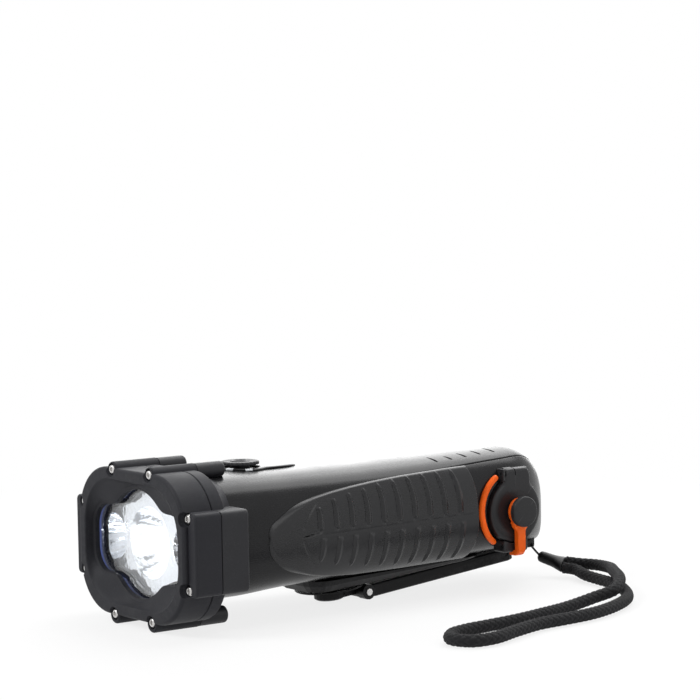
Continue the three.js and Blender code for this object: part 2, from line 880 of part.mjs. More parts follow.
function makeHousing() {
  const skin = solid(loft(bodyStations().map((y) => bodyRing(y))));
  const shape = joined(
    skin,
    guardStretch(bezelDepth + seat, flangeEnd, 0),
    flangeCone(),
    guardLugs(bezelDepth + seat, rollEnd, bezelDepth + seat, padEnd, 0, rollChamfer),
    ear(1),
    ear(-1),
    lanyardLug(),
  );
  const bosses = keelScrewPlaces().map((place) => rod(screwShankRadius + seat + bossWall,
    bodySurfaceBottom(place.y) + wall / 2, keelBottom(place.y) + keelScrewLength + wall, 'z',
    [place.x, place.y, 0], smallSides));
  const cavityRows = [0, 0.33, 0.67, 1].map((share) => THREE.MathUtils.lerp(flangeEnd, cavityEnd, share));
  const cavity = solid(loft(cavityRows.map((y) => bodyRing(y, wall, roundSides))));
  const boardBack = boardFront + boardThickness + seat;
  const headCavity = solid(loft([
    roundedRing(bezelDepth - overrun, pocketHalfWidth, pocketHalfHeight, pocketCorner),
    roundedRing(flangeEnd, pocketHalfWidth, pocketHalfHeight, pocketCorner),
    roundedRing(boardBack, boardHalfWidth + 2 * seat, pocketHalfHeight - wall, pocketCorner),
    roundedRing(boardBack + wall, bodyHalfWidth - 2 * wall, bodyBottom - 2 * wall, pocketCorner * 0.9),
  ]));
  const screwHoles = screwPlaces.map((place) => screwHole(
    place, bezelDepth, screwLength + seat, screwShankRadius + seat));
  const buttonHole = rod(plungerRadius + 2 * seat, bodyTop - 3 * wall, bodyTop + overrun, 'z', [0, buttonPlace, 0]);
  const surroundSeat = surroundOutline(surroundThickness * 0.6, seat, 3 * overrun);
  const indicatorHoles = indicatorTurns.map((turn) => indicatorBlock(turn, seat));
  const portRecess = rod(coverRadius + 4 * seat, coverFace - coverThickness - seat, coverFace + overrun, 'x',
    portCentre, fineSides);
  const socketHole = rod(socketRadius + seat, coverFace - coverThickness - socketLength - seat - overrun,
    coverFace, 'x', portCentre);
  const blockSlot = box(
    [pinDepth - blockSwing - seat, portPlace - blockNear - seat, portHeight],
    [coverFace + overrun, portPlace + blockFar + seat, portHeight + pinHeight + blockSwing + seat]);
  const pinHoles = [1, -1].map((side) => rod(hingePinRadius + seat, -pinNear - overrun, blockFar + overrun, 'y',
    [pinDepth, portPlace, portHeight + side * pinHeight], smallSides));
  const keelHole = keelPrism(-overrun, 2 * keelPlug, 0);
  const keelScrewHoles = keelScrewPlaces().map((place) => rod(screwShankRadius + seat, -bodyBottom - wall,
    keelBottom(place.y) + keelScrewLength + 2 * seat, 'z', [place.x, place.y, 0], smallSides));
  const tailGrooves = Array.from({ length: tailRibCount }, (_, i) => tailGroove(i)).flat();
  const posts = circuitPosts();
  return cut(joined(cut(shape, cavity, headCavity), ...bosses, ...posts), ...screwHoles, buttonHole, surroundSeat, ...indicatorHoles, portRecess,
    socketHole, blockSlot, ...pinHoles, keelHole, ...keelScrewHoles, ...tailGrooves);
}

// Short slanting grooves over the shoulders of the tail.
const tailRibShares = [0.84, 0.52];

function tailGroove(i) {
  const y = tailRibStart + i * tailRibPitch;
  return [1, -1].map((side) => {
    const [high, low] = tailRibShares.map((share, k) => flankPoint(
      y + (k ? -tailRibLean : tailRibLean), (share * Math.PI) / 2, 0, side));
    return groove(high, low, tailRibRadius);
  });
}

// Button, its surround and the indicators on top

function surroundOutline(sink, grow, rise) {
  const points = Array.from({ length: fineSides }, (_, i) => {
    const angle = (i / fineSides) * 2 * Math.PI;
    const point = Math.max(0, Math.sin(angle));
    const reach = surroundRadius + grow + (surroundTip - surroundRadius) * point ** 6;
    return new THREE.Vector2(reach * Math.cos(angle) * (1 - 0.12 * point), reach * Math.sin(angle));
  });
  const at = buttonPlace;
  const rings = [-sink - grow, rise].map((lift) => points.map((p) => new THREE.Vector3(
    p.x, at + p.y, bodySurfaceTop(at + p.y) + lift)));
  return solid(loft(rings));
}

function makeSurround() {
  const plate = surroundOutline(surroundThickness * 0.6, 0, surroundThickness * 0.6);
  const hole = rod(buttonRadius + seat, 0, bodyTop + 2 * overrun, 'z', [0, buttonPlace, 0]);
  const windows = indicatorTurns.map((turn) => indicatorBlock(turn, seat));
  return cut(plate, hole, ...windows);
}

// A light window let into the surround's rim, turned round the button's axis.
function indicatorBlock(turn, grow) {
  const reach = surroundRadius - indicatorDepth;
  const base = bodySurfaceTop(buttonPlace) - indicatorHeight;
  const top = bodySurfaceTop(buttonPlace) + surroundThickness * 0.6;
  const geometry = geometryOf(box(
    [reach - grow, -indicatorWidth / 2 - grow, base - grow],
    [surroundRadius + grow * 4, indicatorWidth / 2 + grow, top + grow * 4]));
  geometry.rotateZ(THREE.MathUtils.degToRad(turn));
  geometry.translate(0, buttonPlace, 0);
  return solid(geometry);
}

function buttonRestHeight() {
  return bodySurfaceTop(buttonPlace) + surroundThickness * 0.6 + buttonHeight;
}

function makeButton() {
  const top = buttonRestHeight();
  const rim = bodySurfaceTop(buttonPlace) - surroundThickness * 0.6 + seat + buttonTravel;
  const foot = circuitHeight + switchHeight + buttonTravel + seat;
  return turned([
    [0, foot], [plungerRadius, foot], [plungerRadius, rim], [buttonRadius, rim],
    [buttonRadius, top - buttonHeight * 0.5], [buttonRadius * 0.86, top], [buttonRadius * 0.5, top - buttonHeight * 0.25],
    [0, top - buttonHeight * 0.4],
  ], 'z', [0, buttonPlace, 0]);
}

// Port cover and its pieces

function makePortCover() {
  const back = coverFace - coverThickness;
  const disc = turned([
    [0, back], [coverRadius, back], [coverRadius, coverFace - coverFillet],
    [coverRadius - coverFillet, coverFace], [0, coverFace],
  ], 'x', portCentre, fineSides);
  const block = box(
    [pinDepth - blockHalf, portPlace - blockNear, portHeight + coverRadius * 0.7],
    [coverFace, portPlace + blockFar, portHeight + earOuter]);
  const bore = rod(hingePinRadius + seat, -blockNear - overrun, blockFar + overrun, 'y',
    [pinDepth, portPlace, portHeight + pinHeight], smallSides);
  const neck = rod(studNeckRadius, coverFace - overrun, coverFace + studReach - studHead + overrun, 'x',
    portCentre, roundSides);
  const head = turned([
    [0, coverFace + studReach - studHead], [studRadius, coverFace + studReach - studHead],
    [studRadius, coverFace + studReach - coverFillet], [studRadius - coverFillet, coverFace + studReach],
    [0, coverFace + studReach],
  ], 'x', portCentre, roundSides);
  return cut(joined(disc, block, neck, head), bore);
}

const pinNear = portPlace - earNear;

function makeHingePin(side) {
  return rod(hingePinRadius, seat - pinNear, blockFar - seat, 'y',
    [pinDepth, portPlace, portHeight + side * pinHeight], smallSides);
}

// The strap's eye sits round the stud's neck, and its foot hooks under the lower ear.
function makeStrap() {
  const inner = coverFace + seat;
  const outer = inner + strapThickness;
  const low = portHeight - earOuter - seat - strapThickness;
  const eye = rod(strapEyeRadius, inner, outer, 'x', portCentre);
  const band = box(
    [inner, portPlace - strapWidth / 2, low],
    [outer, portPlace + strapWidth / 2, portHeight]);
  const foot = box(
    [inner - strapFoot, portPlace - strapWidth / 2, low],
    [outer, portPlace + strapWidth / 2, low + strapThickness]);
  const hole = rod(studNeckRadius + seat, inner - overrun, outer + overrun, 'x', portCentre);
  return cut(joined(eye, band, foot), hole);
}

// The seal follows the flank round the near side of the cover, from ear to ear.
function makeSeal() {
  const tube = sealThickness / 2;
  const reach = Math.acos((pinNear + seat + tube * 0.5) / sealRadius);
  const steps = 11;
  const sides = 7;
  const rings = [];
  for (let i = 0; i <= steps; i += 1) {
    const turn = THREE.MathUtils.lerp(-reach, reach, i / steps);
    const y = portPlace - sealRadius * Math.cos(turn);
    const z = portHeight + sealRadius * Math.sin(turn);
    const ground = flankPoint(y, flankTurn(y, z), 0);
    const above = flankPoint(y, flankTurn(y, z), seat).sub(ground).normalize();
    const centre = ground.addScaledVector(above, seat + tube);
    const along = new THREE.Vector3(0, Math.sin(turn), Math.cos(turn));
    const out = new THREE.Vector3().crossVectors(above, along).normalize();
    rings.push(Array.from({ length: sides }, (_, k) => {
      const angle = (k / sides) * 2 * Math.PI;
      return centre.clone().addScaledVector(out, tube * Math.cos(angle)).addScaledVector(above, tube * Math.sin(angle));
    }));
  }
  return solid(loft(rings));
}

function makeSocket() {
  const mouth = coverFace - coverThickness - 2 * seat;
  const back = mouth - socketLength;
  const shellBody = turned([
    [0, back], [socketRadius, back], [socketRadius, mouth], [socketBore, mouth],
    [socketBore, back + bossWall], [socketPin, back + bossWall], [socketPin, mouth - overrun], [0, mouth - overrun],
  ], 'x', portCentre, smallSides);
  return shellBody;
}

// Gearbox cover: a shallow hull that carries the hub bearing and the gear posts

function keelBottom(y) {
  return -keelDepthAtHub + keelSlope * (y - hubPlace);
}

function keelScrewPlaces() {
  const ends = [keelStart + keelScrewInset, keelEnd - keelScrewInset - tailSlant - keelTaper];
  return [1, -1].flatMap((side) => ends.map((y) => ({ x: side * keelScrewSpread, y })));
}

function keelRing(level, inset) {
  const middle = (keelStart + keelEnd) / 2;
  const halfLength = (keelEnd - keelStart) / 2;
  return roundedOutline(keelHalfWidth - inset, halfLength - inset, keelHalfWidth * 0.55 - inset, 2 * bluntSteps)
    .map(([x, along]) => {
      const y = middle + along - tailSlant * (along > 0 ? inset / keelTaper : 0);
      return new THREE.Vector3(x, y, level(y));
    });
}

// The part of the cover that stands inside the opening in the housing.
function keelPrism(from, to, inset) {
  const middle = (keelStart + keelEnd) / 2;
  const halfWidth = keelHalfWidth - keelTaper - inset;
  const halfLength = (keelEnd - keelStart) / 2 - keelFlange - inset;
  const outline = roundedOutline(halfWidth, halfLength, halfWidth * 0.4, bluntSteps);
  return solid(loft([from, to].map((lift) => outline.map(([x, along]) => {
    const y = middle + along;
    return new THREE.Vector3(x, y, bodySurfaceBottom(y) + lift);
  }))));
}

function keelHull() {
  const rim = (y) => bodySurfaceBottom(y) - seat;
  const floor = (y) => Math.min(keelBottom(y), rim(y) - keelTaper * 0.5);
  return solid(loft([
    keelRing(floor, keelTaper),
    keelRing((y) => THREE.MathUtils.lerp(floor(y), rim(y), 0.55), keelTaper * 0.25),
    keelRing(rim, 0),
  ]));
}

// Bearings and posts stand square to the crank's own plane.
function tilted(body) {
  const geometry = geometryOf(body);
  geometry.rotateX(gearAngle);
  geometry.translate(0, hubPlace, -hubDepth);
  return solid(geometry);
}

const idlerReach = gearModule * (crankTeeth + pinionTeeth) / 2;
const rotorReach = idlerReach + gearModule * (idlerTeeth + pinionTeeth) / 2;
const lowerGear = [gearFloor, gearFloor + gearThickness];
const upperGear = [lowerGear[1] + gearLift, lowerGear[1] + gearLift + gearThickness];
const rotorFloor = upperGear[1] + gearLift;
const keelFloor = domeTop + overrun;

function makeKeel() {
  const plug = keelPrism(-2 * seat, keelPlug, seat);
  const hollow = keelPrism(-keelWall * 0.3, keelPlug + overrun, seat + keelWall);
  const bearing = tilted(rod(shaftRadius + runClearance + bossWall, keelFloor, gearFloor - seat, 'z', [0, 0, 0]));
  const bearingBore = tilted(rod(shaftRadius + runClearance, domeTop - 3 * overrun, gearFloor + overrun,
    'z', [0, 0, 0]));
  const idlerPost = tilted(joined(
    rod(postRadius + bossWall, keelFloor, lowerGear[0] - seat, 'z', [0, idlerReach, 0], smallSides),
    rod(postRadius, lowerGear[0] - overrun, upperGear[1] + seat, 'z', [0, idlerReach, 0], smallSides)));
  const rotorPost = tilted(joined(
    rod(postRadius + bossWall, keelFloor, upperGear[0] - seat, 'z', [0, rotorReach, 0], smallSides),
    rod(postRadius, upperGear[0] - overrun, rotorFloor + rotorThickness, 'z', [0, rotorReach, 0], smallSides)));
  const domeClear = tilted(rod(domeRadius + 2 * seat, domeTop - 4 * overrun, domeTop + seat, 'z', [0, 0, 0]));
  const screwHoles = keelScrewPlaces().flatMap((place) => [
    rod(screwShankRadius + seat, -hubDepth, 0, 'z', [place.x, place.y, 0], smallSides),
    rod(screwHeadRadius + seat, -hubDepth, keelBottom(place.y) + screwHeadHeight + seat, 'z',
      [place.x, place.y, 0], smallSides),
  ]);
  const shell = cut(joined(keelHull(), plug), hollow);
  return cut(joined(shell, bearing, idlerPost, rotorPost, ...statorPosts()), bearingBore, domeClear, ...screwHoles);
}

function statorPosts() {
  return [1, -1].map((side) => tilted(rod(statorPostRadius, keelFloor, rotorFloor - seat, 'z',
    [side * statorInner, rotorReach, 0], smallSides)));
}

function makeKeelScrew(place) {
  const front = keelBottom(place.y) + seat * 0.5;
  return turned([
    [0, front], [screwHeadRadius * 0.7, front], [screwHeadRadius, front + screwHeadHeight * 0.35],
    [screwHeadRadius, front + screwHeadHeight], [screwShankRadius, front + screwHeadHeight],
    [screwShankRadius, front + keelScrewLength - screwShankRadius], [0, front + keelScrewLength],
  ], 'z', [place.x, place.y, 0], smallSides);
}

// Crank hub with its dome, cap, lug and shaft

function makeHub() {
  const dome = turned([
    [0, -capDrop], [capRadius * 0.86, -capDrop], [capRadius, -capDrop * 0.3], [capRadius, domeShoulder],
    [domeRadius, domeTop - overrun * 0.6], [domeRadius, domeTop], [shaftRadius, domeTop],
    [shaftRadius, lowerGear[0] + gearThickness], [0, lowerGear[0] + gearThickness],
  ], 'z', [0, 0, 0], fineSides);
  const lug = box([-lugHalfWidth, 0, -capDrop], [lugHalfWidth, pinReach, domeShoulder]);
  const barrel = rod(knuckleRadius - seat, -lugHalfWidth, lugHalfWidth, 'x', [0, pinReach, 0]);
  const bore = rod(armPinRadius + seat, -armHalfWidth, armHalfWidth, 'x', [0, pinReach, 0], smallSides);
  const forkClear = [1, -1].map((side) => rod(knuckleRadius + seat, side > 0 ? lugHalfWidth : -armHalfWidth - seat,
    side > 0 ? armHalfWidth + seat : -lugHalfWidth, 'x', [0, pinReach, 0]));
  return cut(joined(dome, lug, barrel), bore, ...forkClear);
}

// Teeth with straight flanks, narrowed for running play.
function gearShape(teeth, phase) {
  const pitch = gearModule * teeth / 2;
  const tip = pitch + gearModule * toothDepthShare;
  const root = pitch - gearModule * (toothDepthShare + toothClearShare);
  const shape = new THREE.Shape();
  for (let i = 0; i < teeth; i += 1) {
    const marks = [[root, -toothRootShare / 2], [tip, -toothTipShare], [tip, toothTipShare], [root, toothRootShare / 2]];
    marks.forEach(([radius, share], k) => {
      const angle = ((i + share * 0.5 + phase) / teeth) * 2 * Math.PI;
      const method = i === 0 && k === 0 ? 'moveTo' : 'lineTo';
      shape[method](radius * Math.cos(angle), radius * Math.sin(angle));
    });
  }
  shape.closePath();
  return shape;
}

function gearBlank(teeth, level, reach, phase) {
  const geometry = new THREE.ExtrudeGeometry(gearShape(teeth, phase), {
    depth: level[1] - level[0], bevelEnabled: false,
  });
  geometry.translate(0, reach, level[0]);
  return solid(geometry);
}

function shaftBore(radius, reach) {
  return rod(radius, 0, rotorFloor + rotorThickness + overrun, 'z', [0, reach, 0], smallSides);
}

// A gear has a tooth towards the next shaft along, and a pinion has a gap towards the one before.
function toothPhase(teeth) {
  return (teeth / 4) % 1;
}

function gapPhase(teeth) {
  return (0.5 + (3 * teeth) / 4) % 1;
}

function makeCrankGear() {
  return cut(gearBlank(crankTeeth, lowerGear, 0, toothPhase(crankTeeth)), shaftBore(shaftRadius + seat, 0));
}

function makeIdler() {
  const webRadius = gearModule * (pinionTeeth / 2 - toothDepthShare - 2 * toothClearShare);
  const blank = joined(
    gearBlank(pinionTeeth, lowerGear, idlerReach, gapPhase(pinionTeeth)),
    rod(webRadius, lowerGear[1] - overrun / 2, upperGear[0] + overrun / 2, 'z', [0, idlerReach, 0], smallSides),
    gearBlank(idlerTeeth, upperGear, idlerReach, toothPhase(idlerTeeth)));
  return cut(blank, shaftBore(postRadius + runClearance, idlerReach));
}

function makeRotor() {
  const blank = joined(
    gearBlank(pinionTeeth, [upperGear[0], rotorFloor + overrun], rotorReach, gapPhase(pinionTeeth)),
    rod(rotorRadius, rotorFloor, rotorFloor + rotorThickness, 'z', [0, rotorReach, 0]));
  return cut(blank, shaftBore(postRadius + runClearance, rotorReach));
}

function makeStator() {
  return tubeRing(statorOuter, statorInner, rotorFloor, rotorFloor + statorThickness, 'z', [0, rotorReach, 0], fineSides);
}

// Crank arm, its pins and the flip-out knob

function armRing(level, inset) {
  const middle = (pinReach + armReach) / 2;
  const half = (armReach - pinReach) / 2;
  return roundedOutline(armHalfWidth - inset, half - inset, armCorner, bluntSteps).map(([x, along]) => {
    const narrow = THREE.MathUtils.lerp(armHalfWidth, armEndHalfWidth, (along + half) / (2 * half)) / armHalfWidth;
    return new THREE.Vector3(x * narrow, middle + along, level);
  });
}

function makeArm() {
  const edge = armEdge;
  const bar = solid(loft([
    armRing(-armBelow, edge), armRing(-armBelow + edge, 0), armRing(armAbove - edge, 0), armRing(armAbove, edge),
  ]));
  const block = box(
    [-armEndHalfWidth + edge, armReach - armBlockLength, 0],
    [armEndHalfWidth - edge, armReach - edge, armBlockAbove]);
  const barrel = rod(knuckleRadius, -armHalfWidth, armHalfWidth, 'x', [0, pinReach, 0]);
  const rootTrim = box(
    [-armHalfWidth - overrun, pinReach - knuckleRadius - overrun, -armBelow - overrun],
    [armHalfWidth + overrun, pinReach, armAbove + overrun]);
  const fork = joined(
    box([-lugHalfWidth - seat, pinReach - 2 * knuckleRadius, -2 * knuckleRadius],
      [lugHalfWidth + seat, pinReach, 2 * knuckleRadius]),
    rod(knuckleRadius + seat, -lugHalfWidth - seat, lugHalfWidth + seat, 'x', [0, pinReach, 0]));
  const pinBore = rod(armPinRadius + seat, -2 * armHalfWidth, 2 * armHalfWidth, 'x', [0, pinReach, 0], smallSides);
  const slot = box(
    [-slotHalfGap, knobPlace - knobLength - 2 * seat, -2 * armBelow],
    [slotHalfGap, knobPlace + stemEye + seat, 2 * armBlockAbove]);
  const knobBore = rod(knobPinRadius + seat, -armEndHalfWidth - overrun, armEndHalfWidth + overrun, 'x',
    [0, knobPlace, knobHeight], smallSides);
  return cut(joined(cut(joined(bar, block), rootTrim), barrel), fork, pinBore, slot, knobBore);
}

function makeArmPin() {
  const half = armHalfWidth + armPinProud;
  return rod(armPinRadius, -half, half, 'x', [0, pinReach, 0], smallSides);
}

function makeKnobPin() {
  const half = armEndHalfWidth - seat;
  return rod(knobPinRadius, -half, half, 'x', [0, knobPlace, knobHeight], smallSides);
}

function makeStem() {
  const eye = rod(stemEye, -slotHalfGap + seat, slotHalfGap - seat, 'x', [0, knobPlace, knobHeight]);
  const shank = rod(stemRadius, -knobLength, -stemEye * 0.5, 'y', [0, knobPlace, knobHeight], smallSides);
  const rivet = rod(rivetRadius, -knobLength, -knobLength + rivetThickness, 'y', [0, knobPlace, knobHeight], smallSides);
  const bore = rod(knobPinRadius + seat, -slotHalfGap, slotHalfGap, 'x', [0, knobPlace, knobHeight], smallSides);
  return cut(joined(eye, shank, rivet), bore);
}

function makeKnobGrip() {
  const front = -knobLength + rivetThickness + seat;
  const back = front + gripLength;
  const inner = stemRadius + seat;
  const edge = gripRadius * 0.15;
  return turned([
    [inner, front], [gripRadius - edge, front], [gripRadius, front + edge],
    [gripRadius * 0.9, (front + back) / 2], [gripRadius, back - edge], [gripRadius - edge, back], [inner, back],
    [inner, front],
  ], 'y', [0, knobPlace, knobHeight]);
}

// Battery tray, cells, circuit board and switch

function makeTray() {
  const bottom = cellHeight - cellRadius - seat - trayThickness;
  const width = bodySection(cellStart + cellLength, wall).halfWidth - 2 * seat;
  const plate = box(
    [-width, cellStart, bottom],
    [width, cellStart + cellLength, bottom + trayThickness]);
  const stops = [cellStart - trayThickness - seat, cellStart + cellLength + seat + terminalHeight].map((y) => box(
    [-width * 0.6, y, bottom],
    [width * 0.6, y + trayThickness, cellHeight]));
  const links = box(
    [-width * 0.3, cellStart - trayThickness, bottom],
    [width * 0.3, cellStart + cellLength + 2 * trayThickness, bottom + trayThickness]);
  return joined(plate, links, ...stops);
}

function makeCell(i) {
  const x = (i - (cellCount - 1) / 2) * cellPitch;
  const end = cellStart + cellLength;
  return turned([
    [0, cellStart], [cellRadius, cellStart], [cellRadius, end], [terminalRadius, end],
    [terminalRadius, end + terminalHeight], [0, end + terminalHeight],
  ], 'y', [x, 0, cellHeight], rollSides);
}

function makeCircuit() {
  return box([-circuitHalfWidth, circuitStart, circuitHeight - boardThickness],
    [circuitHalfWidth, circuitStart + circuitLength, circuitHeight]);
}

// The posts hang from the roof of the housing down to the corners of the board.
function circuitPosts() {
  const ends = [circuitStart + postInset, circuitStart + circuitLength - postInset];
  return [1, -1].flatMap((side) => ends.map((y) => rod(postRadius, circuitHeight + seat,
    bodySurfaceTop(y) - wall / 2, 'z', [side * (circuitHalfWidth - postInset), y, 0], smallSides)));
}

function makeSwitch() {
  const side = plungerRadius;
  const base = box(
    [-side, buttonPlace - side, circuitHeight + seat],
    [side, buttonPlace + side, circuitHeight + switchHeight * 0.7]);
  const tip = rod(side * 0.5, circuitHeight + switchHeight * 0.5, circuitHeight + switchHeight, 'z',
    [0, buttonPlace, 0], smallSides);
  return joined(base, tip);
}

// Lanyard

function sweep(points, radius, sides, steps) {
  const path = new THREE.CatmullRomCurve3(points, false, 'centripetal');
  const shape = new THREE.Shape();
  for (let i = 0; i < sides; i += 1) {
    const angle = (i / sides) * 2 * Math.PI;
    shape[i ? 'lineTo' : 'moveTo'](radius * Math.cos(angle), radius * Math.sin(angle));
  }
  shape.closePath();
  return new THREE.ExtrudeGeometry(shape, { steps, extrudePath: path, bevelEnabled: false });
}

const floorLevel = -restHeight;
const cordLevel = floorLevel + cordRadius * 1.05;
const sleeveFrom = new THREE.Vector3(10.5, totalLength - 5.8, -23.7);
const sleeveTo = new THREE.Vector3(20.3, totalLength, -27.2);
const strandAlong = new THREE.Vector3(0.82, 0.56, -0.1).normalize();
const strandAcross = new THREE.Vector3(0.508, -0.8, -0.318);

// The cord's two ends leave the sleeve side by side, one strand passes over the other and the loop lies
// on the floor. The second number of each point is its distance behind the tail.
const farRoute = [
  [33, 7.2, -26.6], [47, 2, -25.6], [59, -6.6, -24.7], [77.5, -20.4, -24.7], [85.5, -31, -26.6],
  [85, -41.5, -28.6], [88, -57.7, cordLevel], [92.8, -75, cordLevel], [96.6, -92, cordLevel],
  [98.6, -108, cordLevel], [99.8, -119, cordLevel], [103, -128.5, cordLevel], [110.5, -135, cordLevel],
  [118.4, -132, cordLevel], [119.4, -122, cordLevel], [113.5, -106, cordLevel], [108.5, -90, cordLevel],
  [107.2, -75, cordLevel], [105.2, -60, cordLevel], [99.4, -44, cordLevel], [89.3, -27.6, cordLevel],
  [77.2, -16.8, cordLevel], [60.5, -7, cordLevel], [48.4, -4.1, cordLevel], [37, -2.4, -29.5],
];

function strandEnds(side) {
  const start = sleeveTo.clone().addScaledVector(strandAcross, side * cordSpacing)
    .addScaledVector(strandAlong, seat);
  return [start, start.clone().addScaledVector(strandAlong, 2 * cordRadius)];
}

function makeString() {
  const start = new THREE.Vector3(lugSide, lugPlace + lugLength / 2 + seat, -lugHeight - lugDrop / 2);
  const along = sleeveTo.clone().sub(sleeveFrom).normalize();
  const end = sleeveFrom.clone().addScaledVector(along, -seat);
  const near = end.clone().addScaledVector(along, -3 * stringRadius);
  const behind = start.clone().add(new THREE.Vector3(0, 2 * stringRadius, 0));
  return solid(sweep([start, behind, near, end], stringRadius, stringSides, 6));
}

function makeSleeve() {
  const axis = sleeveTo.clone().sub(sleeveFrom);
  const stations = [
    { share: 0, wide: sleeveStartRadius, tall: sleeveStartRadius },
    { share: 0.08, wide: sleeveRadius, tall: sleeveRadius },
    { share: 0.6, wide: sleeveRadius * 1.1, tall: sleeveRadius },
    { share: 1, wide: 2 * cordSpacing, tall: cordRadius },
  ];
  return solid(loft(stations.map(({ share, wide, tall }) => {
    const along = axis.clone().normalize().lerp(strandAlong, share ** 2).normalize();
    const up = new THREE.Vector3().crossVectors(strandAcross, along).normalize();
    const across = new THREE.Vector3().crossVectors(along, up).normalize();
    const centre = sleeveFrom.clone().addScaledVector(axis, share);
    return Array.from({ length: sleeveSides }, (_, i) => {
      const angle = (i / sleeveSides) * 2 * Math.PI;
      return centre.clone().addScaledVector(across, wide * Math.cos(angle))
        .addScaledVector(up, tall * Math.sin(angle));
    });
  })));
}

function makeCord() {
  const loop = farRoute.map(([x, behind, z]) => new THREE.Vector3(x, totalLength + behind, z));
  const points = [...strandEnds(-1), ...loop, ...strandEnds(1).reverse()];
  return solid(sweep(points, cordRadius, cordSides, cordSteps));
}

// Assembly

add('bezel', makeBezel(), looks.guard);
for (const side of ['top', 'bottom', 'left', 'right']) {
  screwPlaces.filter((place) => place.name === side).forEach((place, i) => {
    add(`bezel_screw_${side}_${i + 1}`, makeBezelScrew(place), looks.steel);
  });
}
add('lens', makeLens(), looks.glass);
add('lens_gasket', makeGasket(), looks.rubber);
add('reflector', makeReflector(), looks.chrome);
add('emitter_board', makeEmitterBoard(), looks.board);
cups.forEach((cup) => add(`emitter_${cup.name}`, makeEmitter(cup), looks.emitter));
add('main_housing', makeHousing(), looks.shell);
add('grip_right', makeGrip(1), looks.rubber);
add('grip_left', makeGrip(-1), looks.rubber);
add('button_surround', makeSurround(), looks.gloss);
add('power_button', makeButton(), looks.rubber);
indicatorTurns.forEach((turn, i) => add(`indicator_${i + 1}`, indicatorBlock(turn, 0), looks.glass));
add('port_cover', makePortCover(), looks.shell);
add('cover_hinge_pin', makeHingePin(1), looks.steel);
add('keeper_pin', makeHingePin(-1), looks.steel);
add('cover_strap', makeStrap(), looks.orange);
add('port_seal', makeSeal(), looks.orange);
add('charge_socket', makeSocket(), looks.steel);
add('gearbox_cover', makeKeel(), looks.shell);
keelScrewPlaces().forEach((place, i) => add(`gearbox_screw_${i + 1}`, makeKeelScrew(place), looks.steel));
add('crank_hub', makeHub(), looks.shell, crankFrame);
add('crank_gear', makeCrankGear(), looks.nylon, crankFrame);
add('idler_gear', makeIdler(), looks.nylon, crankFrame);
add('dynamo_rotor', makeRotor(), looks.magnet, crankFrame);
add('dynamo_stator', makeStator(), looks.copper, crankFrame);
add('crank_arm', makeArm(), looks.shell, crankFrame);
add('arm_pin', makeArmPin(), looks.steel, crankFrame);
add('knob_pin', makeKnobPin(), looks.steel, crankFrame);
add('knob_stem', makeStem(), looks.steel, crankFrame);
add('knob_grip', makeKnobGrip(), looks.rubber, crankFrame);
add('battery_tray', makeTray(), looks.nylon);
for (let i = 0; i < cellCount; i += 1) add(`battery_cell_${i + 1}`, makeCell(i), looks.cell);
add('circuit_board', makeCircuit(), looks.board);
add('power_switch', makeSwitch(), looks.gloss);
add('lanyard_string', makeString(), looks.cord);
add('lanyard_sleeve', makeSleeve(), looks.gloss);
add('lanyard_cord', makeCord(), looks.cord);

crankFrame.rotation.x = gearAngle;
crankFrame.position.set(0, hubPlace, -hubDepth);
part.add(crankFrame);
part.position.set(0, -(totalLength - screwSink) / 2, restHeight);

const group = new THREE.Group();
group.add(part);
export default group;
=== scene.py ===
"""Studio scene of a hand crank flashlight with a wide three-cup head and a wrist lanyard.

All sizes are in millimetres in the head's frame: x across, y from the bezel's front face towards the
tail, z up from the beam's axis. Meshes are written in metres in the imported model's frame.
"""

from __future__ import annotations

import logging
from dataclasses import dataclass, field
from enum import Enum

import bmesh
import bpy
import numpy as np
from mathutils import Matrix
from numpy.typing import NDArray

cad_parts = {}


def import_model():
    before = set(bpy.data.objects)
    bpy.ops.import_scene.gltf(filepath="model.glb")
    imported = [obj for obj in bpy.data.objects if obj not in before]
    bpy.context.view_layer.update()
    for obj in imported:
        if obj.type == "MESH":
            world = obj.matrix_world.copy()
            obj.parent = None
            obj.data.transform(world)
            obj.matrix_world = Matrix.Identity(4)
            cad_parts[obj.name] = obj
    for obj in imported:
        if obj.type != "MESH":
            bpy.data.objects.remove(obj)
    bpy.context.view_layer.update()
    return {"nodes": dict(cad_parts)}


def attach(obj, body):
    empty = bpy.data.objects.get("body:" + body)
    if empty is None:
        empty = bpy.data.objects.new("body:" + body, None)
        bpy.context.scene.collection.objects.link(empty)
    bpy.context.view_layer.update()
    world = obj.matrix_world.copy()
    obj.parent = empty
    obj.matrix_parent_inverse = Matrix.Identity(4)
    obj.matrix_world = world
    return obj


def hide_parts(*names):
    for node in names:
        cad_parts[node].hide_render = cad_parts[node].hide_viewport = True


Array = NDArray[np.float64]
LOG = logging.getLogger("torch")
METRE = 0.001
SEAM_GAP = 2e-6  # metres within which the points of two patches become one
LEAST_EDGE = 1e-7  # metres below which an edge is dissolved
HEAD_PLACE = np.array([0.0, -102.3, 32.6])
BUTTON_PLACE = 52.0
TURN = 2 * np.pi


class Body(str, Enum):
    """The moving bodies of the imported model."""

    TORCH = "torch"
    BUTTON = "button"
    COVER = "cover"
    HUB = "hub"
    ARM = "arm"


# Shape helpers


def unit(vectors: Array) -> Array:
    """Vectors divided by their own length.

    Args:
        vectors: Vectors in the last axis.

    Returns:
        Vectors of length one.
    """
    return vectors / np.maximum(np.linalg.norm(vectors, axis=-1, keepdims=True), 1e-12)


def signed_power(values: Array, power: float) -> Array:
    """Values raised to a power without their sign, which they keep."""
    return np.sign(values) * np.abs(values) ** power


def ease(share: Array) -> Array:
    """Smooth step: three times the square of the share less twice its cube."""
    kept = np.clip(share, 0, 1)
    return kept * kept * (3 - 2 * kept)


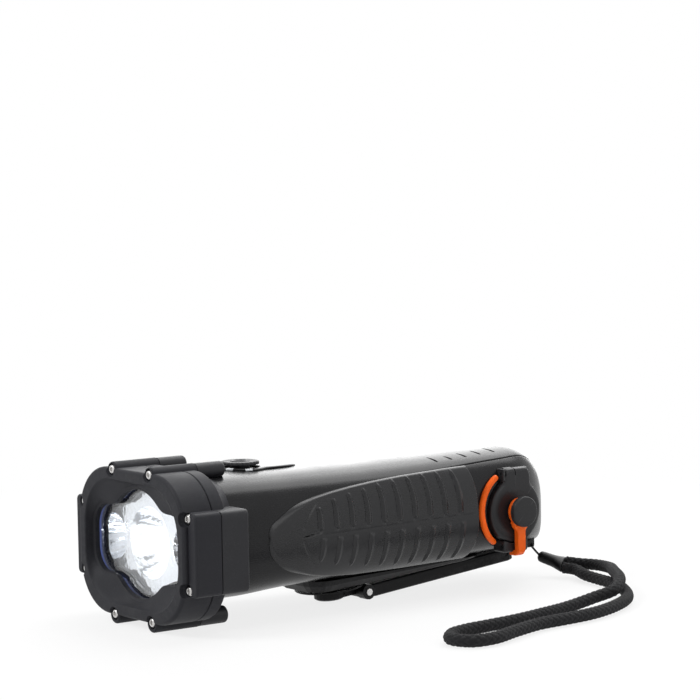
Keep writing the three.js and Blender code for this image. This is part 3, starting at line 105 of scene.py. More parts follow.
def filleted(corners: Array, radii: Array, steps: int = 5) -> Array:
    """Line with its inner corners rounded.

    Each corner becomes a quadratic curve: the square of (1 - t) times the start, plus 2 t (1 - t) times
    the corner, plus t squared times the end, where start and end lie one radius before and after it.

    Args:
        corners: Points of the line, first to last.
        radii: Reach of the rounding at each inner corner.
        steps: Points on each rounded corner.

    Returns:
        Points of the rounded line.
    """
    before, here, after = corners[:-2], corners[1:-1], corners[2:]
    spare = np.minimum(np.linalg.norm(before - here, axis=1), np.linalg.norm(after - here, axis=1)) * 0.49
    reach = np.minimum(radii, spare)[:, None]
    start = (here + unit(before - here) * reach)[:, None]
    end = (here + unit(after - here) * reach)[:, None]
    t = np.linspace(0, 1, steps)[None, :, None]
    curves = (1 - t) ** 2 * start + 2 * t * (1 - t) * here[:, None] + t**2 * end
    return np.concatenate([corners[:1], curves.reshape(-1, corners.shape[1]), corners[-1:]])


def rounded_reach(angle: Array, half_width: float, half_height: float, corner: float) -> Array:
    """Distance from the centre to a rounded rectangle in each direction.

    A ray meets a straight side at half the width over its cosine, or a corner arc at its own length
    along the arc's centre plus the root of that length squared, less the centre's distance squared,
    plus the radius squared.

    Args:
        angle: Directions in radians.
        half_width: Half of the width.
        half_height: Half of the height.
        corner: Radius of the corners.

    Returns:
        The distances.
    """
    x, z = np.abs(np.cos(angle)), np.abs(np.sin(angle))
    cx, cz = half_width - corner, half_height - corner
    side = half_width / np.maximum(x, 1e-9)
    top = half_height / np.maximum(z, 1e-9)
    along = x * cx + z * cz
    arc = along + np.sqrt(np.maximum(along**2 - cx**2 - cz**2 + corner**2, 0))
    return np.where(z * side <= cz, side, np.where(x * top <= cx, top, arc))


def blended_reach(first: Array, second: Array, power: float) -> Array:
    """Outline round two shapes: the root, of the given power, of the sum of both reaches to that power."""
    return (first**power + second**power) ** (1 / power)


def reach_of_loop(loop: Array, angle: Array) -> Array:
    """Distance from the origin to a closed loop of points in each direction, by its polar angle."""
    polar = np.arctan2(loop[:, 1], loop[:, 0]) % TURN
    order = np.argsort(polar)
    return np.interp(angle % TURN, polar[order], np.hypot(*loop.T)[order], period=TURN)


def swept(reach: Array, depth: Array, angle: Array) -> Array:
    """Grid of rings that stand across the beam.

    Args:
        reach: Distance from the axis, one row for each ring.
        depth: Place of each ring along the torch.
        angle: Directions of the ring's points.

    Returns:
        Points with x the reach times the cosine, y the depth and z the reach times the sine.
    """
    full = np.broadcast_to(depth.reshape(len(depth), -1), reach.shape)
    return np.stack([reach * np.cos(angle), full, reach * np.sin(angle)], axis=-1)


def lathe(profile: Array, axis: str, centre: tuple[float, float, float], count: int = 64) -> Array:
    """Surface of revolution about an axis.

    A profile point (r, h) goes to r times the cosine and r times the sine of each turn, at height h.

    Args:
        profile: Pairs of radius and height along the axis.
        axis: One of x, y and z.
        centre: A point on the axis, where the height is zero.
        count: Steps round.

    Returns:
        A closed grid of points.
    """
    turn = np.linspace(0, TURN, count + 1)
    radius, height = profile[:, :1], np.repeat(profile[:, 1:], count + 1, axis=1)
    across, up = radius * np.cos(turn), radius * np.sin(turn)
    order = {"x": (height, across, up), "y": (up, height, across), "z": (across, up, height)}[axis]
    return np.stack(order, axis=-1) + np.array(centre)


def bar(radius: float, low: float, high: float) -> Array:
    """Profile of a plain round bar between two heights."""
    return np.array([[0, low], [radius, low], [radius, high], [0, high]])


def tube(path: Array, radius: Array, count: int, lift: Array | None = None) -> Array:
    """Tube round a path: the path's point plus the radius times (cosine of side plus sine of upper).

    Args:
        path: Points along the middle.
        radius: Radius at each point.
        count: Steps round.
        lift: Extra radius on the grid of points, if any.

    Returns:
        A grid that closes round the path.
    """
    along = unit(np.gradient(path, axis=0))
    side = unit(np.cross(along, np.array([0.0, 0.0, 1.0])))
    upper = np.cross(side, along)
    turn = np.linspace(0, TURN, count + 1)
    reach = np.repeat(radius[:, None], count + 1, axis=1)
    if lift is not None:
        reach = reach + lift
    return path[:, None] + reach[..., None] * (
        np.cos(turn)[None, :, None] * side[:, None] + np.sin(turn)[None, :, None] * upper[:, None])


def rounded_box(low: Array, high: Array, edge: float, axis: str = "y", steps: int = 4) -> Array:
    """Block with all its edges rounded, as rings along one axis that close at both ends.

    Args:
        low: Lowest corner.
        high: Highest corner.
        edge: Radius of the edges.
        axis: The axis that the rings follow, y or x or z.
        steps: Points on a rounded edge.

    Returns:
        A grid of points.
    """
    a, b, c = {"x": (1, 2, 0), "y": (0, 2, 1), "z": (0, 1, 2)}[axis]
    middle, half = (low + high) / 2, (high - low) / 2
    quarter = np.linspace(0, np.pi / 2, steps)
    narrow = [min(half[a], half[b])]
    inwards, onwards = edge * (1 - np.sin(quarter)), edge * (1 - np.cos(quarter))
    inset = np.concatenate([narrow, inwards, inwards[::-1], narrow])
    level = np.concatenate([[-half[c]], -half[c] + onwards, half[c] - onwards[::-1], [half[c]]])
    turn = np.concatenate([quarter + k * np.pi / 2 for k in range(4)] + [[0.0]])
    sx = np.concatenate([np.full(steps, s) for s in (1, -1, -1, 1)] + [[1]])
    sz = np.concatenate([np.full(steps, s) for s in (1, 1, -1, -1)] + [[1]])
    core_a = np.maximum(half[a] - edge - np.maximum(inset - edge, 0), 0)
    core_b = np.maximum(half[b] - edge - np.maximum(inset - edge, 0), 0)
    radius = np.maximum(edge - inset, 0)[:, None]
    points = np.zeros((len(inset), len(turn), 3))
    points[..., a] = middle[a] + sx * core_a[:, None] + radius * np.cos(turn)
    points[..., b] = middle[b] + sz * core_b[:, None] + radius * np.sin(turn)
    points[..., c] = middle[c] + level[:, None]
    return points


@dataclass
class Skin:
    """Patches of one piece, gathered before they become a mesh."""

    points: list[Array] = field(default_factory=list)
    quads: list[NDArray[np.int64]] = field(default_factory=list)
    charts: list[Array] = field(default_factory=list)
    count: int = 0

    def add(self, grid: Array, chart: Array | None = None) -> "Skin":
        """Adds a grid of points.

        Args:
            grid: Points in rows and columns.
            chart: Surface coordinates of the points, if a pattern follows them.

        Returns:
            This skin, so that calls can follow each other.
        """
        rows, columns = grid.shape[:2]
        index = np.arange(rows * columns).reshape(rows, columns) + self.count
        quads = np.stack([index[:-1, :-1], index[:-1, 1:], index[1:, 1:], index[1:, :-1]], axis=-1)
        self.points.append(grid.reshape(-1, 3))
        self.quads.append(quads.reshape(-1, 4))
        self.charts.append(np.zeros((rows * columns, 2)) if chart is None else chart.reshape(-1, 2))
        self.count += rows * columns
        return self

    def cap(self, ring: Array, chart: Array | None = None) -> "Skin":
        """Closes a ring of points with a fan to their middle, and its coordinates go on to there."""
        uv = None if chart is None else np.stack([chart, chart])
        return self.add(np.stack([ring, np.broadcast_to(ring.mean(0), ring.shape)]), uv)

    def add_closed(self, grid: Array, chart: Array | None = None) -> "Skin":
        """Adds a grid of points and closes its first and its last ring."""
        self.add(grid, chart)
        for end in (0, -1):
            self.cap(grid[end], None if chart is None else chart[end])
        return self

    def mesh(self, name: str) -> bpy.types.Mesh:
        """Writes the patches to one mesh in metres, merges their seams and turns its faces outwards."""
        points = (np.concatenate(self.points) + HEAD_PLACE) * METRE
        quads = np.concatenate(self.quads)
        mesh = bpy.data.meshes.new(name)
        mesh.vertices.add(len(points))
        mesh.vertices.foreach_set("co", points.astype(np.float32).ravel())
        mesh.loops.add(quads.size)
        mesh.loops.foreach_set("vertex_index", quads.astype(np.int32).ravel())
        mesh.polygons.add(len(quads))
        mesh.polygons.foreach_set("loop_start", np.arange(0, quads.size, 4, dtype=np.int32))
        mesh.update(calc_edges=True)
        layer = mesh.uv_layers.new(name="UVMap")
        chart = np.concatenate(self.charts)[quads.ravel()]
        layer.data.foreach_set("uv", chart.astype(np.float32).ravel())
        work = bmesh.new()
        work.from_mesh(mesh)
        bmesh.ops.remove_doubles(work, verts=work.verts, dist=SEAM_GAP)
        bmesh.ops.dissolve_degenerate(work, edges=work.edges, dist=LEAST_EDGE)
        bmesh.ops.recalc_face_normals(work, faces=work.faces)
        work.to_mesh(mesh)
        work.free()
        return mesh


def solid(name: str, *grids: Array) -> bpy.types.Mesh:
    """One mesh of grids of points that need no pattern."""
    skin = Skin()
    for grid in grids:
        skin.add(grid)
    return skin.mesh(name)


def shown(name: str, data: bpy.types.ID) -> bpy.types.Object:
    """A new object with this mesh, lamp or camera, in the scene."""
    made = bpy.data.objects.new(name, data)
    bpy.context.scene.collection.objects.link(made)
    return made


def carved(mesh: bpy.types.Mesh, tools: list[bpy.types.Mesh], operation: str = "DIFFERENCE") -> bpy.types.Mesh:
    """Mesh after each tool is cut from it or joined to it.

    Args:
        mesh: The mesh to work on.
        tools: Closed meshes.
        operation: DIFFERENCE or UNION.

    Returns:
        The finished mesh.
    """
    work = shown(mesh.name, mesh)
    helpers = [shown(tool.name, tool) for tool in tools]
    for helper in helpers:
        modifier = work.modifiers.new("tool", "BOOLEAN")
        modifier.operation = operation
        modifier.solver = "EXACT"
        modifier.object = helper
    bpy.context.view_layer.update()
    graph = bpy.context.evaluated_depsgraph_get()
    made = bpy.data.meshes.new_from_object(work.evaluated_get(graph))
    made.name = mesh.name
    for spare in [work, *helpers]:
        bpy.data.objects.remove(spare)
    return made


def piece(name: str, mesh: bpy.types.Mesh, finish: bpy.types.Material, body: Body,
          nodes: tuple[str, ...] = (), sharp: float = 32.0) -> bpy.types.Object:
    """Puts a finished mesh into the scene as a piece that rides on a body.

    Args:
        name: Name of the piece.
        mesh: Its mesh.
        finish: Its material.
        body: The body that carries it.
        nodes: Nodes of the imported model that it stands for.
        sharp: Angle in degrees above which an edge stays sharp.

    Returns:
        The piece.
    """
    mesh.name = name
    mesh.materials.clear()
    mesh.materials.append(finish)
    mesh.shade_smooth()
    mesh.set_sharp_from_angle(angle=np.radians(sharp))
    made = shown(name, mesh)
    weighted = made.modifiers.new("flat_faces", "WEIGHTED_NORMAL")
    weighted.keep_sharp = True
    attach(made, body.value)
    if nodes:
        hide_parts(*nodes)
    LOG.info("piece %s: %d faces on %s", name, len(mesh.polygons), body.value)
    return made


# Node groups and finishes


class Wiring:
    """Adds nodes to one tree and joins them."""

    def __init__(self, tree: bpy.types.NodeTree) -> None:
        """Keeps the tree and starts with an empty sheet."""
        self.tree = tree
        self.column = 0

    @classmethod
    def of_material(cls, name: str) -> tuple[bpy.types.Material, "Wiring"]:
        """A new material without nodes, and the wiring of its tree."""
        made = bpy.data.materials.new(name)
        made.use_nodes = True
        made.node_tree.nodes.clear()
        return made, cls(made.node_tree)

    def node(self, kind: str, **settings: object) -> bpy.types.Node:
        """A new node with its settings and socket values.

        Args:
            kind: Type of the node.
            **settings: Properties, or values of the inputs of that name with spaces for underscores.

        Returns:
            The node.
        """
        made = self.tree.nodes.new(kind)
        made.location = (self.column * 190, -(self.column % 4) * 220)
        self.column += 1
        for key, value in settings.items():
            if hasattr(made, key):
                setattr(made, key, value)
            else:
                made.inputs[key.replace("_", " ")].default_value = value
        return made

    def join(self, start: bpy.types.NodeSocket, end: bpy.types.NodeSocket) -> None:
        """Links two sockets."""
        self.tree.links.new(start, end)

    def sum(self, operation: str, *terms: object, clamp: bool = False) -> bpy.types.NodeSocket:
        """A Math node on sockets or plain numbers.

        Args:
            operation: Name of the operation.
            *terms: Sockets or numbers.
            clamp: Whether the result stays between zero and one.

        Returns:
            The result's socket.
        """
        made = self.node("ShaderNodeMath", operation=operation, use_clamp=clamp)
        for socket, term in zip(made.inputs, terms):
            if isinstance(term, bpy.types.NodeSocket):
                self.join(term, socket)
            else:
                socket.default_value = float(term)
        return made.outputs[0]

    def spread(self, value: bpy.types.NodeSocket, low: float, high: float, to_low: float = 0.0,
               to_high: float = 1.0) -> bpy.types.NodeSocket:
        """A value carried from one range to another, kept inside it."""
        made = self.node("ShaderNodeMapRange", From_Min=low, From_Max=high, To_Min=to_low, To_Max=to_high)
        self.join(value, made.inputs["Value"])
        return made.outputs["Result"]

    def mixed(self, share: bpy.types.NodeSocket, first: object, second: object) -> bpy.types.NodeSocket:
        """A colour between two colours or colour sockets, by a share."""
        made = self.node("ShaderNodeMix", data_type="RGBA")
        self.join(share, made.inputs["Factor"])
        for name, value in (("A", first), ("B", second)):
            socket = next(s for s in made.inputs if s.name == name and s.type == "RGBA")
            if isinstance(value, bpy.types.NodeSocket):
                self.join(value, socket)
            else:
                socket.default_value = (*value, 1.0)
        return next(s for s in made.outputs if s.type == "RGBA")

    def group(self, tree: bpy.types.NodeTree, place: bpy.types.NodeSocket, **values: float) -> bpy.types.Node:
        """A shared node group at a place of the surface, with its input values."""
        made = self.node("ShaderNodeGroup", node_tree=tree)
        for key, value in values.items():
            made.inputs[key].default_value = value
        self.join(place, made.inputs["Place"])
        return made

    def seen(self) -> bpy.types.NodeSocket:
        """One for the rays of the camera, of gloss and of glass, and zero for all others."""
        rays = self.node("ShaderNodeLightPath")
        behind = self.sum("MAXIMUM", rays.outputs["Is Glossy Ray"], rays.outputs["Is Transmission Ray"])
        return self.sum("MAXIMUM", rays.outputs["Is Camera Ray"], behind)

    def show(self, shader: bpy.types.Node, kind: str = "ShaderNodeOutputMaterial") -> None:
        """Ends the tree with an output that shows the shader."""
        self.join(shader.outputs[0], self.node(kind).inputs["Surface"])


class Effects:
    """Shader node groups that several finishes share. Each is built once."""

    def __init__(self) -> None:
        """Builds every group."""
        self.grain = self._grain()
        self.wear_and_edge_highlight = self._wear()
        self.dust = self._dust()
        self.scuffs = self._scuffs()

    @staticmethod
    def _group(name: str, inputs: dict[str, float | None], outputs: tuple[str, ...]) -> tuple[Wiring, dict, dict]:
        """An empty group with a vector input, float inputs and float outputs.

        Args:
            name: Name of the group.
            inputs: Default of each float input.
            outputs: Names of the outputs.

        Returns:
            The wiring, the input sockets by name and the output sockets by name.
        """
        tree = bpy.data.node_groups.new(name, "ShaderNodeTree")
        tree.interface.new_socket("Place", in_out="INPUT", socket_type="NodeSocketVector")
        for key, value in inputs.items():
            tree.interface.new_socket(key, in_out="INPUT", socket_type="NodeSocketFloat").default_value = value
        for key in outputs:
            tree.interface.new_socket(key, in_out="OUTPUT", socket_type="NodeSocketFloat")
        wiring = Wiring(tree)
        start = wiring.node("NodeGroupInput")
        end = wiring.node("NodeGroupOutput")
        return wiring, {s.name: s for s in start.outputs}, {s.name: s for s in end.inputs}

    def _grain(self) -> bpy.types.NodeTree:
        """Grain of moulded plastic or rubber: fine noise plus half of the distance to scattered points."""
        wiring, given, out = self._group("Moulded grain", {"Scale": 2500.0, "Pits": 0.5}, ("Height", "Speckle"))
        noise = wiring.node("ShaderNodeTexNoise", Detail=3.0, Roughness=0.6)
        cells = wiring.node("ShaderNodeTexVoronoi")
        broad = wiring.node("ShaderNodeTexNoise", Scale=60.0, Detail=2.0)
        for target in (noise, cells, broad):
            wiring.join(given["Place"], target.inputs["Vector"])
        wiring.join(given["Scale"], noise.inputs["Scale"])
        wiring.join(wiring.sum("MULTIPLY", given["Scale"], 0.7), cells.inputs["Scale"])
        pits = wiring.sum("MULTIPLY", cells.outputs["Distance"], given["Pits"])
        wiring.join(wiring.sum("ADD", noise.outputs["Fac"], pits), out["Height"])
        wiring.join(wiring.spread(broad.outputs["Fac"], 0.3, 0.7), out["Speckle"])
        return wiring.tree

    def _wear(self) -> bpy.types.NodeTree:
        """Wear along edges, which also serves as a painted edge highlight: how pointed the surface is, times noise
        that breaks it up.
        """
        wiring, given, out = self._group("Edge wear", {"Start": 0.52, "Width": 0.06, "Breakup": 400.0}, ("Mask",))
        shape = wiring.node("ShaderNodeNewGeometry")
        noise = wiring.node("ShaderNodeTexNoise", Detail=4.0, Roughness=0.7)
        wiring.join(given["Place"], noise.inputs["Vector"])
        wiring.join(given["Breakup"], noise.inputs["Scale"])
        over = wiring.sum("SUBTRACT", shape.outputs["Pointiness"], given["Start"])
        edge = wiring.sum("DIVIDE", over, given["Width"], clamp=True)
        worn_and_highlight = wiring.spread(noise.outputs["Fac"], 0.38, 0.62)
        wiring.join(wiring.sum("MULTIPLY", edge, worn_and_highlight), out["Mask"])
        return wiring.tree

    def _dust(self) -> bpy.types.NodeTree:
        """Dust that settles on faces which look up: the normal's height times two sizes of noise."""
        wiring, given, out = self._group("Settled dust", {"Amount": 0.3}, ("Mask",))
        shape = wiring.node("ShaderNodeNewGeometry")
        split = wiring.node("ShaderNodeSeparateXYZ")
        wiring.join(shape.outputs["Normal"], split.inputs[0])
        specks = wiring.node("ShaderNodeTexNoise", Scale=1800.0, Detail=2.0)
        drift = wiring.node("ShaderNodeTexNoise", Scale=45.0, Detail=3.0)
        for target in (specks, drift):
            wiring.join(given["Place"], target.inputs["Vector"])
        up = wiring.spread(split.outputs["Z"], -0.4, 1.0, 0.25, 1.0)
        fine = wiring.sum("MULTIPLY", wiring.spread(specks.outputs["Fac"], 0.6, 0.72),
                          wiring.spread(drift.outputs["Fac"], 0.4, 0.7))
        wiring.join(wiring.sum("MULTIPLY", wiring.sum("MULTIPLY", up, fine), given["Amount"]), out["Mask"])
        return wiring.tree

    def _scuffs(self) -> bpy.types.NodeTree:
        """Hairline scuffs: noise stretched along one way, where it comes close to its middle value."""
        wiring, given, out = self._group("Fine scuffs", {"Length": 0.05, "Amount": 0.5}, ("Mask",))
        stretch = wiring.node("ShaderNodeMapping")
        stretch.inputs["Rotation"].default_value = (0.3, 0.5, 0.4)
        stretch.inputs["Scale"].default_value = (1.0, 0.06, 1.0)
        noise = wiring.node("ShaderNodeTexNoise", Scale=900.0, Detail=2.0)
        wiring.join(given["Place"], stretch.inputs["Vector"])
        wiring.join(stretch.outputs[0], noise.inputs["Vector"])
        away = wiring.sum("ABSOLUTE", wiring.sum("SUBTRACT", noise.outputs["Fac"], 0.5))
        line = wiring.sum("SUBTRACT", 1.0, wiring.sum("DIVIDE", away, given["Length"], clamp=True))
        wiring.join(wiring.sum("MULTIPLY", line, given["Amount"]), out["Mask"])
        return wiring.tree


@dataclass(frozen=True)
class Finish:
    """One surface finish: its colour, gloss, grain, wear that also paints edge highlights, dust and any glow."""

    name: str
    colour: tuple[float, float, float]
    roughness: float
    metallic: float = 0.0
    specular: float = 0.35
    coat: float = 0.0
    grain: float = 2200.0
    depth: float = 0.00004
    pits: float = 0.5
    worn_and_highlight: tuple[float, float, float] = (0.12, 0.12, 0.125)
    wear_and_edge_highlight: float = 0.35
    dust: float = 0.25
    scuffs: float = 0.15
    glow: float = 0.0

    def material(self, effects: Effects) -> bpy.types.Material:
        """Builds the material.

        The base colour goes to the worn colour along edges, which is also a painted highlight on bevels, and to pale
        dust on top. Roughness changes with broad speckle and scuffs, and the grain's height makes the bump.

        Args:
            effects: The shared node groups.

        Returns:
            The material.
        """
        made, wiring = Wiring.of_material(self.name)
        place = wiring.node("ShaderNodeTexCoord").outputs["Object"]
        shader = wiring.node("ShaderNodeBsdfPrincipled", Metallic=self.metallic,
                             Specular_IOR_Level=self.specular, Coat_Weight=self.coat)
        grain = wiring.group(effects.grain, place, Scale=self.grain, Pits=self.pits)
        wear_and_edge_highlight = wiring.group(effects.wear_and_edge_highlight, place).outputs["Mask"]
        dust = wiring.group(effects.dust, place, Amount=self.dust).outputs["Mask"]
        scuffs = wiring.group(effects.scuffs, place, Amount=self.scuffs).outputs["Mask"]
        speckle = grain.outputs["Speckle"]
        shade = tuple(channel * 0.82 for channel in self.colour)
        colour = wiring.mixed(speckle, shade, self.colour)
        # Edge colour: real wear, and also a painted highlight on bevels.
        colour = wiring.mixed(wiring.sum("MULTIPLY", wear_and_edge_highlight, self.wear_and_edge_highlight), colour, self.worn_and_highlight)
        colour = wiring.mixed(dust, colour, (0.42, 0.4, 0.38))
        wiring.join(colour, shader.inputs["Base Color"])
        rough = wiring.spread(speckle, 0, 1, self.roughness * 0.9, min(1.0, self.roughness * 1.1))
        rough = wiring.sum("ADD", rough, wiring.sum("MULTIPLY", scuffs, 0.25), clamp=True)
        rough = wiring.sum("ADD", rough, wiring.sum("MULTIPLY", dust, 0.4), clamp=True)
        wiring.join(rough, shader.inputs["Roughness"])
        bump = wiring.node("ShaderNodeBump", Strength=0.6, Distance=self.depth)
        wiring.join(grain.outputs["Height"], bump.inputs["Height"])
        wiring.join(bump.outputs[0], shader.inputs["Normal"])
        # Glow is emission of the base colour: on the orange rubber and the indicator windows it is painted light.
        if self.glow:
            shader.inputs["Emission Strength"].default_value = self.glow
            wiring.join(colour, shader.inputs["Emission Color"])
        wiring.show(shader)
        return made


@dataclass(frozen=True)
class ClearFinish:
    """Clear moulded plastic with a tint and a faint painted blue glow towards its rim."""

    name: str
    tint: tuple[float, float, float] = (0.97, 0.985, 1.0)
    rim: tuple[float, float, float] = (0.16, 0.2, 0.5)
    rim_start: float = 0.955
    rim_end: float = 0.99

    def material(self, effects: Effects) -> bpy.types.Material:
        """Builds the material: glass whose colour goes to the rim's along the piece's own first coordinate, with a
        painted blue glow there.

        Args:
            effects: The shared node groups.

        Returns:
            The material.
        """
        made, wiring = Wiring.of_material(self.name)
        coords = wiring.node("ShaderNodeTexCoord")
        shader = wiring.node("ShaderNodeBsdfPrincipled", IOR=1.49, Transmission_Weight=1.0, Emission_Strength=1.0)
        split = wiring.node("ShaderNodeSeparateXYZ")
        wiring.join(coords.outputs["UV"], split.inputs[0])
        share = wiring.spread(split.outputs["X"], self.rim_start, self.rim_end)
        wiring.join(wiring.mixed(share, self.tint, self.rim), shader.inputs["Base Color"])
        # Painted glow: faint blue emission at the rim.
        wiring.join(wiring.mixed(share, (0.0, 0.0, 0.0), (0.05, 0.07, 0.2)), shader.inputs["Emission Color"])
        scuffs = wiring.group(effects.scuffs, coords.outputs["Object"], Amount=0.12)
        wiring.join(wiring.sum("ADD", scuffs.outputs["Mask"], 0.02), shader.inputs["Roughness"])
        wiring.show(shader)
        return made


@dataclass(frozen=True)
class MirrorFinish:
    """Vacuum-plated mirror with a painted glow that fades from its throat."""

    name: str
    strength: float
    reach: float

    def material(self) -> bpy.types.Material:
        """Builds the material: bright metal with a painted glow that fades from the throat, by the first coordinate.
        """
        made, wiring = Wiring.of_material(self.name)
        coords = wiring.node("ShaderNodeTexCoord")
        shader = wiring.node("ShaderNodeBsdfPrincipled", Metallic=1.0, Emission_Strength=self.strength)
        split = wiring.node("ShaderNodeSeparateXYZ")
        wiring.join(coords.outputs["UV"], split.inputs[0])
        noise = wiring.node("ShaderNodeTexNoise", Scale=260.0, Detail=2.0)
        wiring.join(coords.outputs["Object"], noise.inputs["Vector"])
        colour = wiring.mixed(noise.outputs["Fac"], (0.82, 0.84, 0.88), (0.95, 0.96, 0.97))
        wiring.join(colour, shader.inputs["Base Color"])
        wiring.join(wiring.spread(noise.outputs["Fac"], 0, 1, 0.05, 0.16), shader.inputs["Roughness"])
        # Painted glow: emission on a mirror, which is no lamp, fading from the throat.
        fade = wiring.spread(split.outputs["X"], 0.0, self.reach, 1.0, 0.0)
        glow = wiring.mixed(wiring.sum("POWER", fade, 1.4), (0.0, 0.0, 0.0), (0.93, 0.97, 1.0))
        wiring.join(glow, shader.inputs["Emission Color"])
        facets = wiring.node("ShaderNodeTexVoronoi", Scale=520.0)
        wiring.join(coords.outputs["Object"], facets.inputs["Vector"])
        bump = wiring.node("ShaderNodeBump", Strength=0.35, Distance=0.0002)
        wiring.join(facets.outputs["Distance"], bump.inputs["Height"])
        wiring.join(bump.outputs[0], shader.inputs["Normal"])
        wiring.show(shader)
        return made


@dataclass(frozen=True)
class BraidFinish:
    """Braided cord: plaits along the piece's own coordinates, with loose fibres."""

    name: str
    colour: tuple[float, float, float] = (0.008, 0.008, 0.009)
    # Paler colour painted on the thread crowns as a highlight.
    light: tuple[float, float, float] = (0.034, 0.034, 0.037)
    threads: float = 24

    def material(self, effects: Effects) -> bpy.types.Material:
        """Builds the material: threads run along each plait, with painted shade between them and a painted
        highlight on their crowns.

        Args:
            effects: The shared node groups.

        Returns:
            The material.
        """
        made, wiring = Wiring.of_material(self.name)
        coords = wiring.node("ShaderNodeTexCoord")
        shader = wiring.node("ShaderNodeBsdfPrincipled", Specular_IOR_Level=0.2, Sheen_Weight=0.06,
                             Sheen_Roughness=0.5)
        split = wiring.node("ShaderNodeSeparateXYZ")
        wiring.join(coords.outputs["UV"], split.inputs[0])
        slant = wiring.sum("ADD", split.outputs["X"], wiring.sum("MULTIPLY", split.outputs["Y"], 2.0))
        threads = wiring.sum("SINE", wiring.sum("MULTIPLY", slant, TURN * self.threads))
        fibre = wiring.node("ShaderNodeTexNoise", Scale=3800.0, Detail=3.0)
        wiring.join(coords.outputs["Object"], fibre.inputs["Vector"])
        crown = wiring.spread(threads, -1, 1)
        # Painted shade between threads and a painted highlight on their crowns.
        colour = wiring.mixed(wiring.sum("MULTIPLY", crown, fibre.outputs["Fac"]), self.colour, self.light)
        dust = wiring.group(effects.dust, coords.outputs["Object"], Amount=0.08)
        wiring.join(wiring.mixed(dust.outputs["Mask"], colour, (0.3, 0.29, 0.28)), shader.inputs["Base Color"])
        wiring.join(wiring.spread(fibre.outputs["Fac"], 0, 1, 0.7, 0.95), shader.inputs["Roughness"])
        bump = wiring.node("ShaderNodeBump", Strength=0.7, Distance=0.00012)
        wiring.join(wiring.sum("ADD", crown, fibre.outputs["Fac"]), bump.inputs["Height"])
        wiring.join(bump.outputs[0], shader.inputs["Normal"])
        wiring.show(shader)
        return made


class Palette:
    """Every finish of the torch, built once."""

    def __init__(self) -> None:
        """Builds the shared effects and the materials."""
        effects = Effects()
        self.guard = Finish("guard_plastic", (0.0175, 0.0178, 0.0222), 0.58, specular=0.22, grain=2600.0,
                            depth=0.00007, wear_and_edge_highlight=0.06, dust=0.1).material(effects)
        self.satin = Finish("guard_satin", (0.0165, 0.0167, 0.0200), 0.44, specular=0.28, grain=3400.0,
                            depth=0.00008, wear_and_edge_highlight=0.06, dust=0.1).material(effects)
        self.shell = Finish("shell_plastic", (0.0078, 0.0078, 0.0090), 0.25, specular=0.24, grain=3600.0,
                            depth=0.00003, wear_and_edge_highlight=0.15, dust=0.06).material(effects)
        self.keel = Finish("keel_plastic", (0.0055, 0.0055, 0.0062), 0.4, specular=0.18, grain=3000.0,
                           depth=0.00004, wear_and_edge_highlight=0.2, dust=0.06).material(effects)
        self.rubber = Finish("grip_rubber", (0.0105, 0.0105, 0.0122), 0.27, specular=0.38, grain=3000.0,
                             depth=0.00005, wear_and_edge_highlight=0.12, dust=0.1).material(effects)
        self.button = Finish("button_rubber", (0.012, 0.0122, 0.0145), 0.5, specular=0.35, grain=2600.0,
                             depth=0.00005, wear_and_edge_highlight=0.1, dust=0.1).material(effects)
        self.gloss = Finish("gloss_black", (0.003, 0.003, 0.0034), 0.22, specular=0.08, grain=1200.0,
                            depth=0.000006, wear_and_edge_highlight=0.05, dust=0.05).material(effects)
        # The cover's high edge wear paints light highlight lines along its bevels, as well as wear.
        self.cover = Finish("cover_plastic", (0.0150, 0.0150, 0.0168), 0.38, specular=0.3, grain=2800.0,
                            depth=0.00006, wear_and_edge_highlight=0.3, dust=0.1).material(effects)
        # Painted glow: faint emission that brightens the orange rubber, which is no lamp.
        self.orange = Finish("orange_rubber", (0.95, 0.13, 0.008), 0.45, specular=0.2, grain=2000.0,
                             depth=0.00004, worn_and_highlight=(1.0, 0.3, 0.05), wear_and_edge_highlight=0.12, dust=0.02, glow=0.1).material(effects)
        self.steel = Finish("stainless_steel", (0.62, 0.61, 0.6), 0.28, 1.0, grain=900.0, depth=0.00002,
                            worn_and_highlight=(0.9, 0.9, 0.9), wear_and_edge_highlight=0.5, dust=0.05, scuffs=0.5).material(effects)
        self.nylon = Finish("gear_nylon", (0.72, 0.68, 0.58), 0.45, grain=1800.0, worn_and_highlight=(0.85, 0.82, 0.75),
                            dust=0.05).material(effects)
        self.magnet = Finish("magnet_steel", (0.2, 0.2, 0.21), 0.38, 1.0, grain=1500.0, scuffs=0.4).material(effects)
        self.copper = Finish("coil_copper", (0.72, 0.28, 0.11), 0.34, 1.0, grain=3000.0, depth=0.0001,
                             worn_and_highlight=(0.9, 0.5, 0.3)).material(effects)
        self.board = Finish("circuit_green", (0.01, 0.11, 0.035), 0.35, coat=0.3, grain=1500.0,
                            worn_and_highlight=(0.1, 0.3, 0.12)).material(effects)
        self.wrap = Finish("cell_wrap", (0.02, 0.17, 0.05), 0.3, coat=0.2, grain=900.0, depth=0.00001,
                           worn_and_highlight=(0.2, 0.4, 0.2)).material(effects)
        # Painted glow: faint emission that brightens the indicator windows like a highlight.
        self.window = Finish("indicator_window", (0.72, 0.75, 0.78), 0.12, specular=0.6, coat=0.5, grain=900.0,
                             depth=0.000005, worn_and_highlight=(0.9, 0.9, 0.9), glow=0.1).material(effects)
        self.emitter = Finish("emitter_resin", (1.0, 0.97, 0.88), 0.2, coat=0.5, grain=800.0,
                              worn_and_highlight=(1.0, 1.0, 1.0), dust=0.0, glow=5.0).material(effects)
        self.lens = ClearFinish("clear_lens").material(effects)
        # The reflector's mirrors carry painted glows; they are no lamps.
        self.main_cup = MirrorFinish("mirror_coat", 0.5, 3.4).material()
        self.side_cup = MirrorFinish("mirror_side_painted_glow", 0.16, 0.6).material()
        self.plate = MirrorFinish("mirror_plate_painted_glow", 0.05, 3.0).material()
        self.braid = BraidFinish("cord_braid").material(effects)


# The torch's tapering tube, which the housing, the grips and the port share


